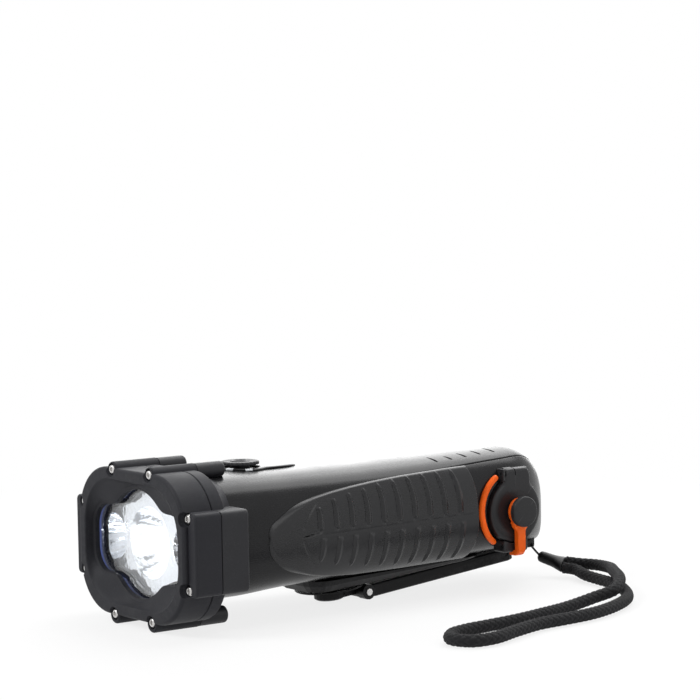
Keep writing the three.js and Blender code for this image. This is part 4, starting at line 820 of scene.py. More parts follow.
@dataclass(frozen=True)
class TubeForm:
    """Outline of the tube along its length."""

    start: float = 13.7
    length: float = 204.4
    table_end: float = 205.0
    half_width: float = 31.0
    bottom: float = 23.0
    squareness: float = 3.4
    wall: float = 2.4
    end_height: float = -18.0
    top_closing: float = 28.0
    side_closing: float = 35.0

    def shares(self, y: Array) -> tuple[Array, Array, Array]:
        """Share of the full width, height of the top and share of the full depth, eased between stations."""
        at = np.array([0, 0.12, 0.25, 0.45, 0.65, 0.85, 1.0])
        table = np.array([[1, 26.0, 1], [1, 25.9, 1], [0.965, 25.2, 0.94], [0.93, 24.8, 0.895],
                          [0.905, 25.2, 0.845], [0.88, 25.7, 0.795], [0.86, 25.7, 0.75]])
        share = np.clip((y - self.start) / (self.table_end - self.start), 0, 1)
        low = np.clip(np.searchsorted(at, share, side="left") - 1, 0, len(at) - 2)
        part = (share - at[low]) / (at[low + 1] - at[low])
        blend = (0.4 * ease(part) + 0.6 * part)[..., None]
        row = table[low] * (1 - blend) + table[low + 1] * blend
        return row[..., 0], row[..., 1], row[..., 2]

    def closing(self, y: Array, reach: float, power: float) -> Array:
        """Share that is left of the section towards the tail.

        It is the root, of the given power, of one less the share of the way into the round end to that
        power.
        """
        into = np.clip((y - (self.length - reach)) / reach, 0, 1)
        return np.maximum(1e-5, 1 - into**power) ** (1 / power)

    def section(self, y: Array) -> tuple[Array, Array, Array]:
        """Half width, half height and middle of the section.

        Near the tail the top comes down to the end's height, and the sides close on their own curve.

        Args:
            y: Places along the torch.

        Returns:
            Half widths, half heights and middles.
        """
        width, high, bottom = self.shares(y)
        upright = self.closing(y, self.top_closing, 2.3)
        high = self.end_height + (high - self.end_height) * upright
        low = self.end_height + (-self.bottom * bottom - self.end_height) * upright
        half_width = self.half_width * width * self.closing(y, self.side_closing, 1.8)
        return half_width, (high - low) / 2, (high + low) / 2

    def flank(self, y: Array, turn: Array, lift: Array | float = 0.0, side: float = 1.0) -> Array:
        """Points on or above the flank.

        The section is a superellipse: x is the half width times the cosine of the turn to the power of
        two over the squareness, and z goes by the sine in the same way. The lift goes along the normal.

        Args:
            y: Places along the torch.
            turn: Turn round the section from its widest place.
            lift: Height above the surface.
            side: One on the right, minus one on the left.

        Returns:
            The points.
        """
        half_width, half_height, middle = self.section(y)
        power = 2 / self.squareness
        x, z = signed_power(np.cos(turn), power), signed_power(np.sin(turn), power)
        out = unit(np.stack([signed_power(x, self.squareness - 1) / half_width,
                             signed_power(z, self.squareness - 1) / half_height], axis=-1))
        across = side * (half_width * x + out[..., 0] * lift)
        height = middle + half_height * z + out[..., 1] * lift
        return np.stack([across, np.broadcast_to(y, across.shape), height], axis=-1)

    def hollow(self, name: str, places: tuple[float, ...]) -> bpy.types.Mesh:
        """Closed solid inside the tube's wall, with a ring at each place along it."""
        turn = np.linspace(0, TURN, 97)
        return Skin().add_closed(self.flank(np.array(places)[:, None], turn[None, :], -self.wall)).mesh(name)

    def turn_at(self, y: Array, height: Array) -> Array:
        """Turn at which the flank reaches a height."""
        _, half_height, middle = self.section(y)
        share = np.clip((height - middle) / half_height, -0.9995, 0.9995)
        return np.sign(share) * np.arcsin(np.abs(share) ** (self.squareness / 2))

    def top_over(self, x: Array, y: Array) -> Array:
        """Height of the tube's top surface over a place."""
        half_width, half_height, middle = self.section(y)
        across = np.clip(np.abs(x) / half_width, 0, 0.999)
        return middle + half_height * (1 - across**self.squareness) ** (1 / self.squareness)


@dataclass(frozen=True)
class BowlForm:
    """One mirror bowl of the reflector."""

    name: str
    place: float
    radius: float
    throat: float = 3.3
    front: float = 10.5
    depth: float = 11.6

    def wall(self, grow: float, count: int = 28) -> Array:
        """Radius and place along the beam, from throat to mouth: the radius grows with the root of the share."""
        share = np.linspace(0, 1, count)
        radius = self.throat + (self.radius - self.throat) * np.sqrt(share) + grow
        return np.stack([radius, self.front + self.depth * (1 - share) + grow * 0.5], axis=-1)


BOWLS = (BowlForm("left", -26.4, 9.4), BowlForm("centre", 0.0, 14.2), BowlForm("right", 26.4, 9.4))


@dataclass
class Head:
    """Guard bezel, rolls, pads and screws."""

    palette: Palette
    tube: TubeForm
    depth: float = 13.7
    half_width: float = 38.5
    half_height: float = 29.0
    corner: float = 20.5
    chamfer: float = 1.5
    dish_width: float = 34.0
    dish_height: float = 24.5
    dish_corner: float = 19.5
    window_depth: float = 6.0
    roll_place: float = 13.6
    top_axis: float = 28.1
    top_radius: float = 3.25
    bottom_axis: float = -29.0
    bottom_radius: float = 3.55
    roll_front: float = 0.6
    roll_joint: float = 20.9
    roll_end: float = 34.0
    pad_face: float = 43.75
    pad_root: float = 20.0
    pad_height: float = 15.9
    pad_corner: float = 2.0
    pad_front: float = 2.0
    pad_end: float = 26.5
    flange_end: float = 19.5
    flange_taper: float = 7.5
    screw_height: float = 28.3
    screw_side: float = 37.9
    screw_rise: float = 13.6
    recess_radius: float = 2.45
    pocket_width: float = 37.2
    pocket_height: float = 24.6
    pocket_corner: float = 18.0
    seam: float = 0.3
    steps: int = 288

    @property
    def angle(self) -> Array:
        """Directions round the beam."""
        return np.linspace(0, TURN, self.steps + 1)

    def window(self, grow: float) -> Array:
        """Reach of the window: a round middle blended with a long slot."""
        slot = rounded_reach(self.angle, 32.6 + grow, 13.5 + grow, 9.5 + grow)
        return blended_reach(slot, np.full_like(slot, 21.3 + grow), 14.0)

    def pocket(self, low: float, high: float) -> bpy.types.Mesh:
        """Solid of the pocket behind the window, between two places along the beam."""
        reach = rounded_reach(self.angle, self.pocket_width, self.pocket_height, self.pocket_corner)
        return solid("pocket", self.closed_sweep([(reach, low), (reach, high)]))

    def outline(self, inset: float) -> Array:
        """Reach of the guard's outer outline."""
        return rounded_reach(self.angle, self.half_width - inset, self.half_height - inset, self.corner - inset)

    def screw_places(self) -> list[tuple[str, float, float, float]]:
        """Name, place across, height and front of each of the eight screws."""
        made = []
        for name, height in (("top", self.screw_height), ("bottom", -self.screw_height - 0.35)):
            made += [(f"{name}_{k}", x * self.roll_place, height, 0.4) for k, x in ((1, 1), (2, -1))]
        for name, side in (("right", 1), ("left", -1)):
            made += [(f"{name}_{k}", side * self.screw_side, z * self.screw_rise, self.pad_front)
                     for k, z in ((1, 1), (2, -1))]
        return made

    def closed_sweep(self, rows: list[tuple[Array, float]]) -> Array:
        """Rings across the beam, closed with a point at both ends."""
        whole = [(rows[0][0] * 0, rows[0][1]), *rows, (rows[-1][0] * 0, rows[-1][1])]
        return swept(np.array([r for r, _ in whole]), np.array([y for _, y in whole]), self.angle)

    def rolls(self, low: float, high: float, grow: float, front: float, back: float) -> list[Array]:
        """Rolls on top and bottom, as turned bars with rounded ends."""
        made = []
        for axis, radius in ((self.top_axis, self.top_radius), (self.bottom_axis, self.bottom_radius)):
            full = radius + grow
            profile = filleted(np.array([[0, low], [full, low], [full, high], [0, high]]), np.array([front, back]), 6)
            made += [lathe(profile, "y", (x * self.roll_place, 0.0, axis), 48) for x in (1, -1)]
        return made

    def pads(self, low: float, high: float, front: float, back: float) -> list[Array]:
        """Flat pads on both sides, as rings of rounded outlines."""
        made = []
        quarter = np.linspace(0, np.pi / 2, 6)
        inset = np.concatenate([front * (1 - np.sin(quarter)), back * (1 - np.sin(quarter[::-1]))])
        level = np.concatenate([low + front * (1 - np.cos(quarter)), high - back * (1 - np.cos(quarter[::-1]))])
        middle, half = (self.pad_face + self.pad_root) / 2, (self.pad_face - self.pad_root) / 2
        turn = np.linspace(0, TURN, 121)
        for side in (1, -1):
            reach = np.array([rounded_reach(turn, half - i, self.pad_height - i, max(self.pad_corner - i, 0.3))
                              for i in inset])
            reach = np.concatenate([reach[:1] * 0, reach, reach[-1:] * 0])
            grid = swept(reach, np.concatenate([[low], level, [high]]), turn)
            grid[..., 0] = side * (middle + grid[..., 0])
            made.append(grid)
        return made

    def opening(self) -> Array:
        """Dish and window as one tool: a hollow cone that runs into the window's outline."""
        mouth = rounded_reach(self.angle, self.dish_width, self.dish_height, self.dish_corner)
        lip, window = self.window(1.1), self.window(0.0)
        rows = [(mouth + 1.2, -1.0), (mouth + 0.45, 0.0), (mouth + 0.12, 0.14), (mouth - 0.15, 0.45)]
        for s in np.linspace(0.1, 0.92, 8):
            rows.append(((mouth - 0.2) * (1 - s) + lip * s, 0.5 + 2.9 * s**0.72))
        rows += [(lip, 3.5), (lip * 0.7 + window * 0.3, 3.62), (window + 0.1, 3.95), (window, 4.3),
                 (window, self.window_depth + 1.0)]
        return self.closed_sweep(rows)

    def bezel(self) -> bpy.types.Object:
        """The guard bezel: ring, rolls and pads in one, then the dish, the pocket and the screw recesses."""
        edge = np.linspace(0, np.pi / 2, 7)
        rows = [(self.outline(self.chamfer * (1 - np.sin(t))), self.chamfer * (1 - np.cos(t))) for t in edge]
        rows += [(self.outline(0), self.depth - 0.25), (self.outline(0.25), self.depth)]
        lugs = solid("lugs", *self.rolls(self.roll_front, self.roll_joint, 0.0, 1.1, 0.2),
                     *self.pads(self.pad_front, self.depth, 1.0, 0.15))
        whole = carved(solid("ring", self.closed_sweep(rows)), [lugs], "UNION")
        tools = [solid("dish", self.opening()), self.pocket(self.window_depth, self.depth + 1.0)]
        full = self.recess_radius
        for _, x, z, front in self.screw_places():
            bore = filleted(np.array([[0, -2.0], [full + 0.5, -2.0], [full + 0.45, front - 0.3], [full, front + 0.5],
                                      [full, front + 1.9], [0, front + 1.9]]), np.array([0.1, 0.5, 0.3, 0.1]), 3)
            tools.append(solid("recess", lathe(bore, "y", (x, 0.0, z), 36)))
        whole = carved(whole, tools)
        return piece("guard_bezel", whole, self.palette.guard, Body.TORCH, ("bezel",), sharp=38.0)

    def room(self) -> list[bpy.types.Mesh]:
        """What the reflector needs inside the guard and the tube: a pocket, the tube's hollow and the bowls."""
        made = [self.pocket(12.0, 17.0), self.tube.hollow("hollow", (15.0, 21.0, 60.0))]
        for bowl in BOWLS:
            wall = bowl.wall(1.5)
            profile = np.concatenate([[[0.0, wall[0, 1]]], wall, [[0.0, wall[-1, 1]]]])
            made.append(solid("bowl", lathe(profile, "y", (bowl.place, 0.0, 0.0), 64)))
        return made

    def flange(self) -> bpy.types.Object:
        """The guard's rear half on the housing: ring, cone, rolls and pads."""
        low = self.depth + self.seam
        loop_turn = np.linspace(0, TURN, 4097)
        loop = self.tube.flank(np.array(self.flange_end + self.flange_taper), loop_turn)
        tube = reach_of_loop(loop[:, [0, 2]], self.angle) - 0.2
        end = self.flange_end
        rows = [(self.outline(0.3), low), (self.outline(0.0), low + 0.3), (self.outline(0.0), end - 0.5),
                (self.outline(0.15), end - 0.15), (self.outline(0.5), end)]
        start = self.outline(0.9)
        for s in np.linspace(0, 1, 12):
            rows.append((start * (1 - s) + tube * s - 0.35 * np.sin(s * np.pi), end + 0.05 + self.flange_taper * s))
        rows.append((tube - 6.0, end + self.flange_taper + 1.0))
        notches = solid("notches", *self.rolls(low - 2.0, self.roll_joint + 0.05, 0.22, 0.1, 0.1))
        ring = carved(solid("flange", self.closed_sweep(rows)), [notches, *self.room()])
        piece("guard_flange", ring, self.palette.guard, Body.TORCH)
        rolls = solid("rolls", *self.rolls(self.roll_joint + 0.3, self.roll_end, -0.12, 0.25, 1.0))
        piece("guard_rolls", rolls, self.palette.satin, Body.TORCH)
        pads = carved(solid("pads", *self.pads(low, self.pad_end, 0.2, 1.2)), self.room())
        return piece("guard_pads", pads, self.palette.satin, Body.TORCH)

    def screws(self) -> None:
        """Domed screw heads with a hex socket, one for each screw node."""
        for name, x, z, front in self.screw_places():
            profile = np.array([[0.0, 0.85], [0.95, 0.85], [0.95, 0.12], [1.15, 0.0], [1.6, 0.22], [1.85, 0.75],
                                [1.85, 1.7], [1.0, 1.75], [1.0, 18.0], [0.0, 18.0]]) + np.array([0.0, front])
            turn = np.linspace(0, TURN, 37)
            grid = lathe(filleted(profile, np.full(len(profile) - 2, 0.12), 3), "y", (x, 0.0, z), 36)
            hexagon = np.cos(np.pi / 6) / np.cos((turn % (np.pi / 3)) - np.pi / 6)
            inner = np.hypot(grid[..., 0] - x, grid[..., 2] - z) < 1.0
            inner &= grid[..., 1] < front + 1.2
            for axis, middle in ((0, x), (2, z)):
                grid[..., axis] = np.where(inner, middle + (grid[..., axis] - middle) * hexagon, grid[..., axis])
            piece(f"screw_{name}", solid(name, grid), self.palette.steel, Body.TORCH,
                  (f"bezel_screw_{name}",))


@dataclass
class Optics:
    """Lens, reflector with three cups, and its small fixing studs."""

    palette: Palette
    head: Head
    lens_front: float = 6.3
    lens_thickness: float = 2.4
    plate_front: float = 10.5
    plate_thickness: float = 1.8
    stud_across: float = 18.6
    stud_height: float = 16.4

    def lens(self) -> bpy.types.Object:
        """The clear lens, whose first surface coordinate runs from its middle to its rim."""
        head = self.head
        rim = head.window(1.8)
        shares = np.array([0.0, 0.3, 0.6, 0.85, 0.94, 0.985, 1.0])
        front = np.array([rim * s for s in shares])
        ease_in = np.where(shares > 0.99, 0.25, 0.0)
        depth = np.concatenate([self.lens_front + ease_in, self.lens_front + self.lens_thickness - ease_in[::-1]])
        grid = swept(np.concatenate([front, front[::-1]]), depth, head.angle)
        share = np.concatenate([shares, shares[::-1]])
        chart = np.stack([np.repeat(share[:, None], grid.shape[1], axis=1), grid[..., 1] * 0], axis=-1)
        glass = Skin().add(grid, chart).mesh("lens")
        return piece("lens_glass", glass, self.palette.lens, Body.TORCH, ("lens",))

    def reflector(self) -> None:
        """The mirror plate with three holes, and a mirror bowl behind each.

        A bowl opens as a parabola: its radius grows with the root of the share of its depth. Its wall
        swells between twelve flutes, by the cosine of twelve times the turn.
        """
        head = self.head
        outer = rounded_reach(head.angle, 36.9, 24.3, 17.7)
        rows = [(outer, self.plate_front), (outer, self.plate_front + self.plate_thickness)]
        plate = solid("plate", head.closed_sweep(rows))
        holes, bowls = [], []
        for form in BOWLS:
            low, high = self.plate_front - 1, self.plate_front + 4
            hole = np.array([[0, low], [form.radius, low], [form.radius, high], [0, high]])
            holes.append(solid("hole", lathe(hole, "y", (form.place, 0.0, 0.0), 96)))
            inner = form.wall(0.0)
            share = np.linspace(0, 1, len(inner))
            profile = np.concatenate([inner, inner[::-1] + np.array([1.1, 0.6]), inner[:1]])
            grid = lathe(profile, "y", (form.place, 0.0, 0.0), 96)
            turn = np.linspace(0, TURN, 97)
            wave = 0.22 * np.cos(12 * turn)[None] * np.sin(np.pi * np.concatenate([share, share * 0, [0.0]]))[:, None]
            reach = np.hypot(grid[..., 0] - form.place, grid[..., 2])
            grid[..., 0] = form.place + (grid[..., 0] - form.place) * (1 + wave / reach)
            grid[..., 2] = grid[..., 2] * (1 + wave / reach)
            along = np.concatenate([share, np.full(len(share) + 1, 3.0)])
            chart = np.stack([np.repeat(along[:, None], grid.shape[1], axis=1), grid[..., 1] * 0], axis=-1)
            finish = self.palette.main_cup if form.name == "centre" else self.palette.side_cup
            bowls.append((form.name, finish, Skin().add(grid, chart).mesh("bowl")))
        piece("reflector_plate", carved(plate, holes), self.palette.plate, Body.TORCH, ("reflector",))
        for name, finish, mesh in bowls:
            piece(f"reflector_cup_{name}", mesh, finish, Body.TORCH)
        dome = filleted(np.array([[0, -1.3], [1.0, -1.2], [1.5, -0.5], [1.6, 0.2]]), np.array([0.4, 0.4]), 4)
        studs = [lathe(dome, "y", (x * self.stud_across, self.plate_front, z * self.stud_height), 28)
                 for x in (1, -1) for z in (1, -1)]
        piece("reflector_studs", solid("studs", *studs), self.palette.steel, Body.TORCH)


@dataclass
class Housing:
    """The tapering tube with its crease, shoulder grooves, recesses and lanyard lug."""

    palette: Palette
    tube: TubeForm
    port: "Port"
    head: Head
    columns: int = 232
    cavity_end: float = 155.0
    button_bore: float = 4.6
    socket_bore: float = 4.9
    keel_half: float = 13.9
    keel_start: float = 76.0
    keel_end: float = 154.0
    crease_depth: float = 0.5
    crease_half: float = 0.34

    def turns(self, y: Array) -> Array:
        """Turns of the columns, one row for each place: even steps with a fine band that follows the crease.

        The even steps come from the length along the section's edge. Columns near the crease's middle
        turn are moved by the crease's own shift there, less with distance, as a bell curve.
        """
        dense = np.linspace(-np.pi / 2, 3 * np.pi / 2, 8001)
        power = 2 / self.tube.squareness
        x, z = signed_power(np.cos(dense), power), signed_power(np.sin(dense), power)
        length = np.concatenate([[0], np.cumsum(np.hypot(np.diff(x * 29), np.diff(z * 24)))])
        even = np.interp(np.linspace(0, length[-1], self.columns + 1), length, dense)
        fine = np.array([-0.06, -0.035, -0.026, -0.02, -0.014, -0.008, 0, 0.008, 0.014, 0.02, 0.026, 0.035, 0.06])
        middle = 0.77
        close = np.concatenate([middle + fine, np.pi - middle - fine])
        apart = np.abs(even[:, None] - close[None]).min(1) > 0.012
        base = np.sort(np.concatenate([even[apart], close]))
        shift = self.crease_turn(y) - middle
        right = np.exp(-(((base - middle) / 0.22) ** 2))
        left = np.exp(-(((base - np.pi + middle) / 0.22) ** 2))
        return base[None] + shift[:, None] * (right - left)[None]

    @staticmethod
    def crease_turn(y: Array) -> Array:
        """Turn of the crease between the top shell and the flank."""
        return np.interp(y, [110, 123, 135, 152, 174, 205], [0.66, 0.68, 0.71, 0.77, 0.83, 0.83])

    def skin(self) -> Array:
        """Grid of the tube from the bezel's seam to the tail.

        Each ring is a superellipse. The crease sinks it by a bell curve across the turn, which fades in
        along the torch. The tail's rings follow a quarter sine so that they bunch where the end closes.
        """
        end = self.tube.length
        straight = np.linspace(16.0, 170.0, 110)
        y = np.concatenate([straight, 170.0 + (end - 170.0) * np.sin(np.linspace(0, np.pi / 2, 56))[1:]])
        turn = self.turns(y)
        centre = self.crease_turn(y)[:, None]
        away = np.minimum(np.abs(turn - centre), np.abs(np.pi - turn - centre)) * 24.0
        fade = (ease((y - 112) / 14) * (1 - ease((y - 186) / 12)))[:, None]
        lift = -self.crease_depth * np.exp(-((away / self.crease_half) ** 2)) * fade
        grid = self.tube.flank(y[:, None], turn, lift)
        grid[-1] = grid[-1].mean(0)
        return grid

    def shoulder_grooves(self) -> bpy.types.Mesh:
        """Five slanting cuts on each shoulder: bars that lie in the top and thicken towards the flank."""
        cuts = []
        share = np.linspace(0, 1, 12)
        radius = 0.12 + 0.78 * np.sqrt(np.clip(share * (1.04 - share**6), 0, 1))
        radius[[0, -1]] = 0.01
        for k in range(5):
            inner, outer = (17.2 - 1.6 * k if k else 14.5), 20.4 - 0.7 * k
            x = inner + (outer - inner) * share
            y = 134.9 + 8.2 * k + 1.7 * share
            z = self.tube.top_over(x, y) + 0.12
            cuts += [tube(np.stack([side * x, y, z], axis=-1), radius, 10) for side in (1, -1)]
        return solid("grooves", *cuts)

    def shell(self) -> bpy.types.Object:
        """The tube, closed, with its cavity, port recess, button seat and keel opening cut out."""
        grid = self.skin()
        body = Skin().add(grid).cap(grid[0]).mesh("tube")
        cavity = self.tube.hollow("cavity", (50.0, 80.0, 110.0, self.cavity_end))
        port = self.port
        recess = bar(port.radius + 0.9, port.face - port.thickness - 0.3, port.face + 4.0)
        box = rounded_box(np.array([-self.keel_half, self.keel_start, -30.0]),
                          np.array([self.keel_half, self.keel_end, -12.0]), 1.0, "z")
        tools = [cavity, *self.head.room(),
                 solid("recess", lathe(recess, "x", port.centre, 72)),
                 solid("socket", lathe(bar(self.socket_bore, 14.0, port.face), "x", port.centre, 48)),
                 solid("button", lathe(bar(self.button_bore, 20.0, 32.0), "z", (0.0, BUTTON_PLACE, 0.0), 48)),
                 solid("keel", box), self.shoulder_grooves()]
        return piece("torch_shell", carved(body, tools), self.palette.shell, Body.TORCH,
                     ("main_housing",), sharp=34.0)

    def lug(self) -> bpy.types.Object:
        """The lanyard's lug: a small rounded plate under the tail with a hole across."""
        body = solid("lug", rounded_box(np.array([11.3, 188.6, -19.2]), np.array([13.7, 194.6, -13.0]), 0.9, "x"))
        hole = solid("hole", lathe(bar(0.8, -4.0, 4.0), "x", (12.5, 192.4, -18.1), 24))
        return piece("lanyard_lug", carved(body, [hole]), self.palette.shell, Body.TORCH)


@dataclass
class Port:
    """Charging-port cover on the right flank, its ears, pins, seal, stud and strap."""

    palette: Palette
    tube: TubeForm
    place: float = 170.5
    height: float = 0.4
    radius: float = 13.4
    face: float = 30.0
    thickness: float = 4.9
    stud_radius: float = 6.4
    stud_reach: float = 6.0
    block_top: float = 17.7
    block_half: float = 5.8
    ear_start: float = 163.9
    ear_end: float = 176.6
    upper_pin: float = 16.15
    lower_pin: float = -14.4
    pin_side: float = 28.05
    pin_radius: float = 0.72
    bore_radius: float = 0.8
    strap_half: float = 2.0
    strap_thickness: float = 2.4
    strap_end: float = -17.6
    band_end: float = -17.2
    eye_radius: float = 5.6
    seal_radius: float = 14.6
    seal_tube: float = 1.3
    seal_place: float = 167.6
    seal_height: float = 1.3

    @property
    def centre(self) -> tuple[float, float, float]:
        """Middle of the cover on its own axis."""
        return (0.0, self.place, self.height)

    def _rings(self, rows: list[tuple[Array, float]], turn: Array) -> Array:
        """Rings that stand across the cover's axis, one for each pair of reach and level along x."""
        reach = np.array([np.broadcast_to(r, turn.shape) for r, _ in rows])
        x = np.broadcast_to(np.array([[level] for _, level in rows]), reach.shape)
        return np.stack([x, self.place + reach * np.cos(turn), self.height + reach * np.sin(turn)], axis=-1)

    @staticmethod
    def _softened(reach: Array, width: int) -> Array:
        """A closed outline's reach, averaged over neighbours so that its inner corners fill."""
        window = np.hanning(width + 2)[1:-1]
        body = np.concatenate([reach[:-1]] * 3)
        kept = np.convolve(body, window / window.sum(), "same")[len(reach) - 1:2 * len(reach) - 2]
        return np.append(kept, kept[0])

    def cover(self) -> bpy.types.Object:
        """The cover: a round plate with concave shoulders under its top block, hinge barrels and the stud."""
        turn = np.linspace(0, TURN, 481)
        narrow = rounded_reach(turn, self.block_half, self.block_top, 1.2)
        wide = rounded_reach(turn, self.block_half + 2.0, self.block_top, 1.2)
        block = np.where(np.sin(turn) > 0, np.where(np.cos(turn) > 0, wide, narrow), 0.5)
        outline = self._softened(np.maximum(np.full_like(turn, self.radius), block), 27)
        quarter = np.linspace(0, np.pi / 2, 6)
        edge = 1.9
        back = self.face - self.thickness
        rows = [(outline * 0, back), (outline - 0.4, back), (outline, back + 0.4)]
        rows += [(outline - edge * (1 - np.cos(t)), self.face - 0.62 * edge * (1 - np.sin(t))) for t in quarter]
        rows += [(9.0, self.face), (8.6, self.face - 0.15), (4.4, self.face - 0.15)]
        top = self.face + self.stud_reach
        rows += [(4.4, top - 2.6), (self.stud_radius - 0.3, top - 2.6), (self.stud_radius, top - 2.3)]
        rows += [(self.stud_radius - 0.6 * (1 - np.cos(t)), top - 0.6 * (1 - np.sin(t))) for t in quarter]
        rows += [(3.0, top), (0.0, top)]
        barrels = [lathe(filleted(bar(radius, start, end), np.array([0.35, 0.35]), 4), "y",
                         (27.0, 0.0, self.height + 15.9), 36)
                   for start, end, radius in ((165.3, 169.9, 2.3), (170.3, 178.0, 2.05))]
        whole = carved(solid("cover", self._rings(rows, turn)), [solid("barrels", *barrels)], "UNION")
        gaps = [rounded_box(np.array([23.0, low, 15.2]), np.array([31.0, high, 21.0]), 0.2, "x")
                for low, high in ((164.0, 165.4), (169.8, 170.3))]
        whole = carved(whole, [solid("gaps", *gaps)])
        return piece("port_cover_plate", whole, self.palette.cover, Body.COVER,
                     ("port_cover",), sharp=40.0)

    def strap(self) -> bpy.types.Object:
        """The orange strap: an eye round the stud that narrows into a band, with a foot hooked inwards.

        The outline is the eye's circle down to its shoulder, then eases to the band's half width, as
        points that are turned into a reach in each direction.
        """
        turn = np.linspace(0, TURN, 481)
        inner = self.face + 0.9
        outer = inner + self.strap_thickness
        low = self.strap_end
        down = np.linspace(self.eye_radius, self.band_end, 400)
        circle = np.sqrt(np.clip(self.eye_radius**2 - down**2, 0, None))
        band = self.strap_half + (4.6 - self.strap_half) * (1 - ease((-4.6 - down) / 4.4))
        half = np.where(down > -4.8, np.maximum(circle, 0.02), np.maximum(band, 0.0))
        loop = np.concatenate([np.stack([half, down], axis=-1), [[0.0, low]], np.stack([-half, down], axis=-1)[::-1]])
        outline = self._softened(reach_of_loop(loop, turn), 7)
        rows = [(4.7, inner), (outline - 0.3, inner), (outline, inner + 0.3), (outline, outer - 0.5),
                (outline - 0.15, outer - 0.15), (outline - 0.5, outer), (4.7, outer), (4.7, inner)]
        whole = solid("strap", self._rings(rows, turn))
        quarter = np.linspace(0, np.pi / 2, 12)
        bend = 1.9
        middle = (inner + outer) / 2
        path = [[middle, low + bend + 1.5]]
        path += [[middle - bend * (1 - np.cos(t)), low + bend - bend * np.sin(t)] for t in quarter]
        path = np.array(path + [[middle - 4.6, low], [middle - 5.0, low]])
        path[:, 1] += self.height
        along = unit(np.gradient(path, axis=0))
        normal = np.stack([along[:, 1], -along[:, 0]], axis=-1)
        ring_turn = np.linspace(0, TURN, 33)
        ring = rounded_reach(ring_turn, self.strap_half, self.strap_thickness / 2, 0.5)
        across, rise = ring * np.cos(ring_turn), ring * np.sin(ring_turn)
        shrink = np.ones(len(path))
        shrink[-1] = 0.6
        grid = np.zeros((len(path), len(ring_turn), 3))
        grid[..., 0] = path[:, :1] + normal[:, :1] * rise * shrink[:, None]
        grid[..., 1] = self.place + across * shrink[:, None]
        grid[..., 2] = path[:, 1:] + normal[:, 1:] * rise * shrink[:, None]
        whole = carved(whole, [Skin().add_closed(grid).mesh("foot")], "UNION")
        return piece("cover_strap_band", whole, self.palette.orange, Body.COVER,
                     ("cover_strap",), sharp=50.0)

    def seal(self) -> bpy.types.Object:
        """The orange seal: a half ring of round section that follows the flank's surface."""
        share = np.linspace(-1, 1, 90)
        turn = 1.2 * share
        y = self.seal_place - self.seal_radius * np.cos(turn)
        z = self.seal_height + self.seal_radius * np.sin(turn)
        angle = self.tube.turn_at(y, z)
        ground = self.tube.flank(y, angle)
        above = self.tube.flank(y, angle, 1.0) - ground
        centre = ground + above * (self.seal_tube * 0.55)
        along = unit(np.gradient(centre, axis=0))
        out = unit(np.cross(above, along))
        ring = np.linspace(0, TURN, 29)
        radius = self.seal_tube * np.clip(1 - np.abs(share) ** 40, 0, 1) ** 0.5
        grid = centre[:, None] + radius[:, None, None] * (
            np.cos(ring)[None, :, None] * out[:, None] + np.sin(ring)[None, :, None] * above[:, None])
        return piece("port_seal_ring", solid("seal", grid), self.palette.orange, Body.TORCH,
                     ("port_seal",))

    def ears(self) -> None:
        """The housing's ears with a small bore for each pin, and the two pins."""
        upper = rounded_box(np.array([22.0, self.ear_start, 13.0]), np.array([29.8, 165.0, 18.3]), 0.5, "x", 5)
        lower = rounded_box(np.array([22.0, self.ear_start, -16.9]), np.array([29.9, self.ear_end, -11.7]), 0.9,
                            "x", 5)
        tools = [solid("round", lathe(bar(self.radius + 0.35, 20.0, 33.0), "x", self.centre, 96))]
        pins = []
        pin = filleted(bar(self.pin_radius, 165.2, 175.9), np.array([0.1, 0.1]), 3)
        for height in (self.upper_pin, self.lower_pin):
            centre = (self.pin_side, 0.0, height)
            tools.append(solid("bore", lathe(bar(self.bore_radius, 160.0, 176.0), "y", centre, 24)))
            pins.append(lathe(pin, "y", centre, 24))
        piece("port_pins", solid("pins", *pins), self.palette.steel, Body.TORCH,
              ("cover_hinge_pin", "keeper_pin"))
        piece("housing_ears", carved(solid("ears", upper, lower), tools), self.palette.cover, Body.TORCH,
              sharp=40.0)


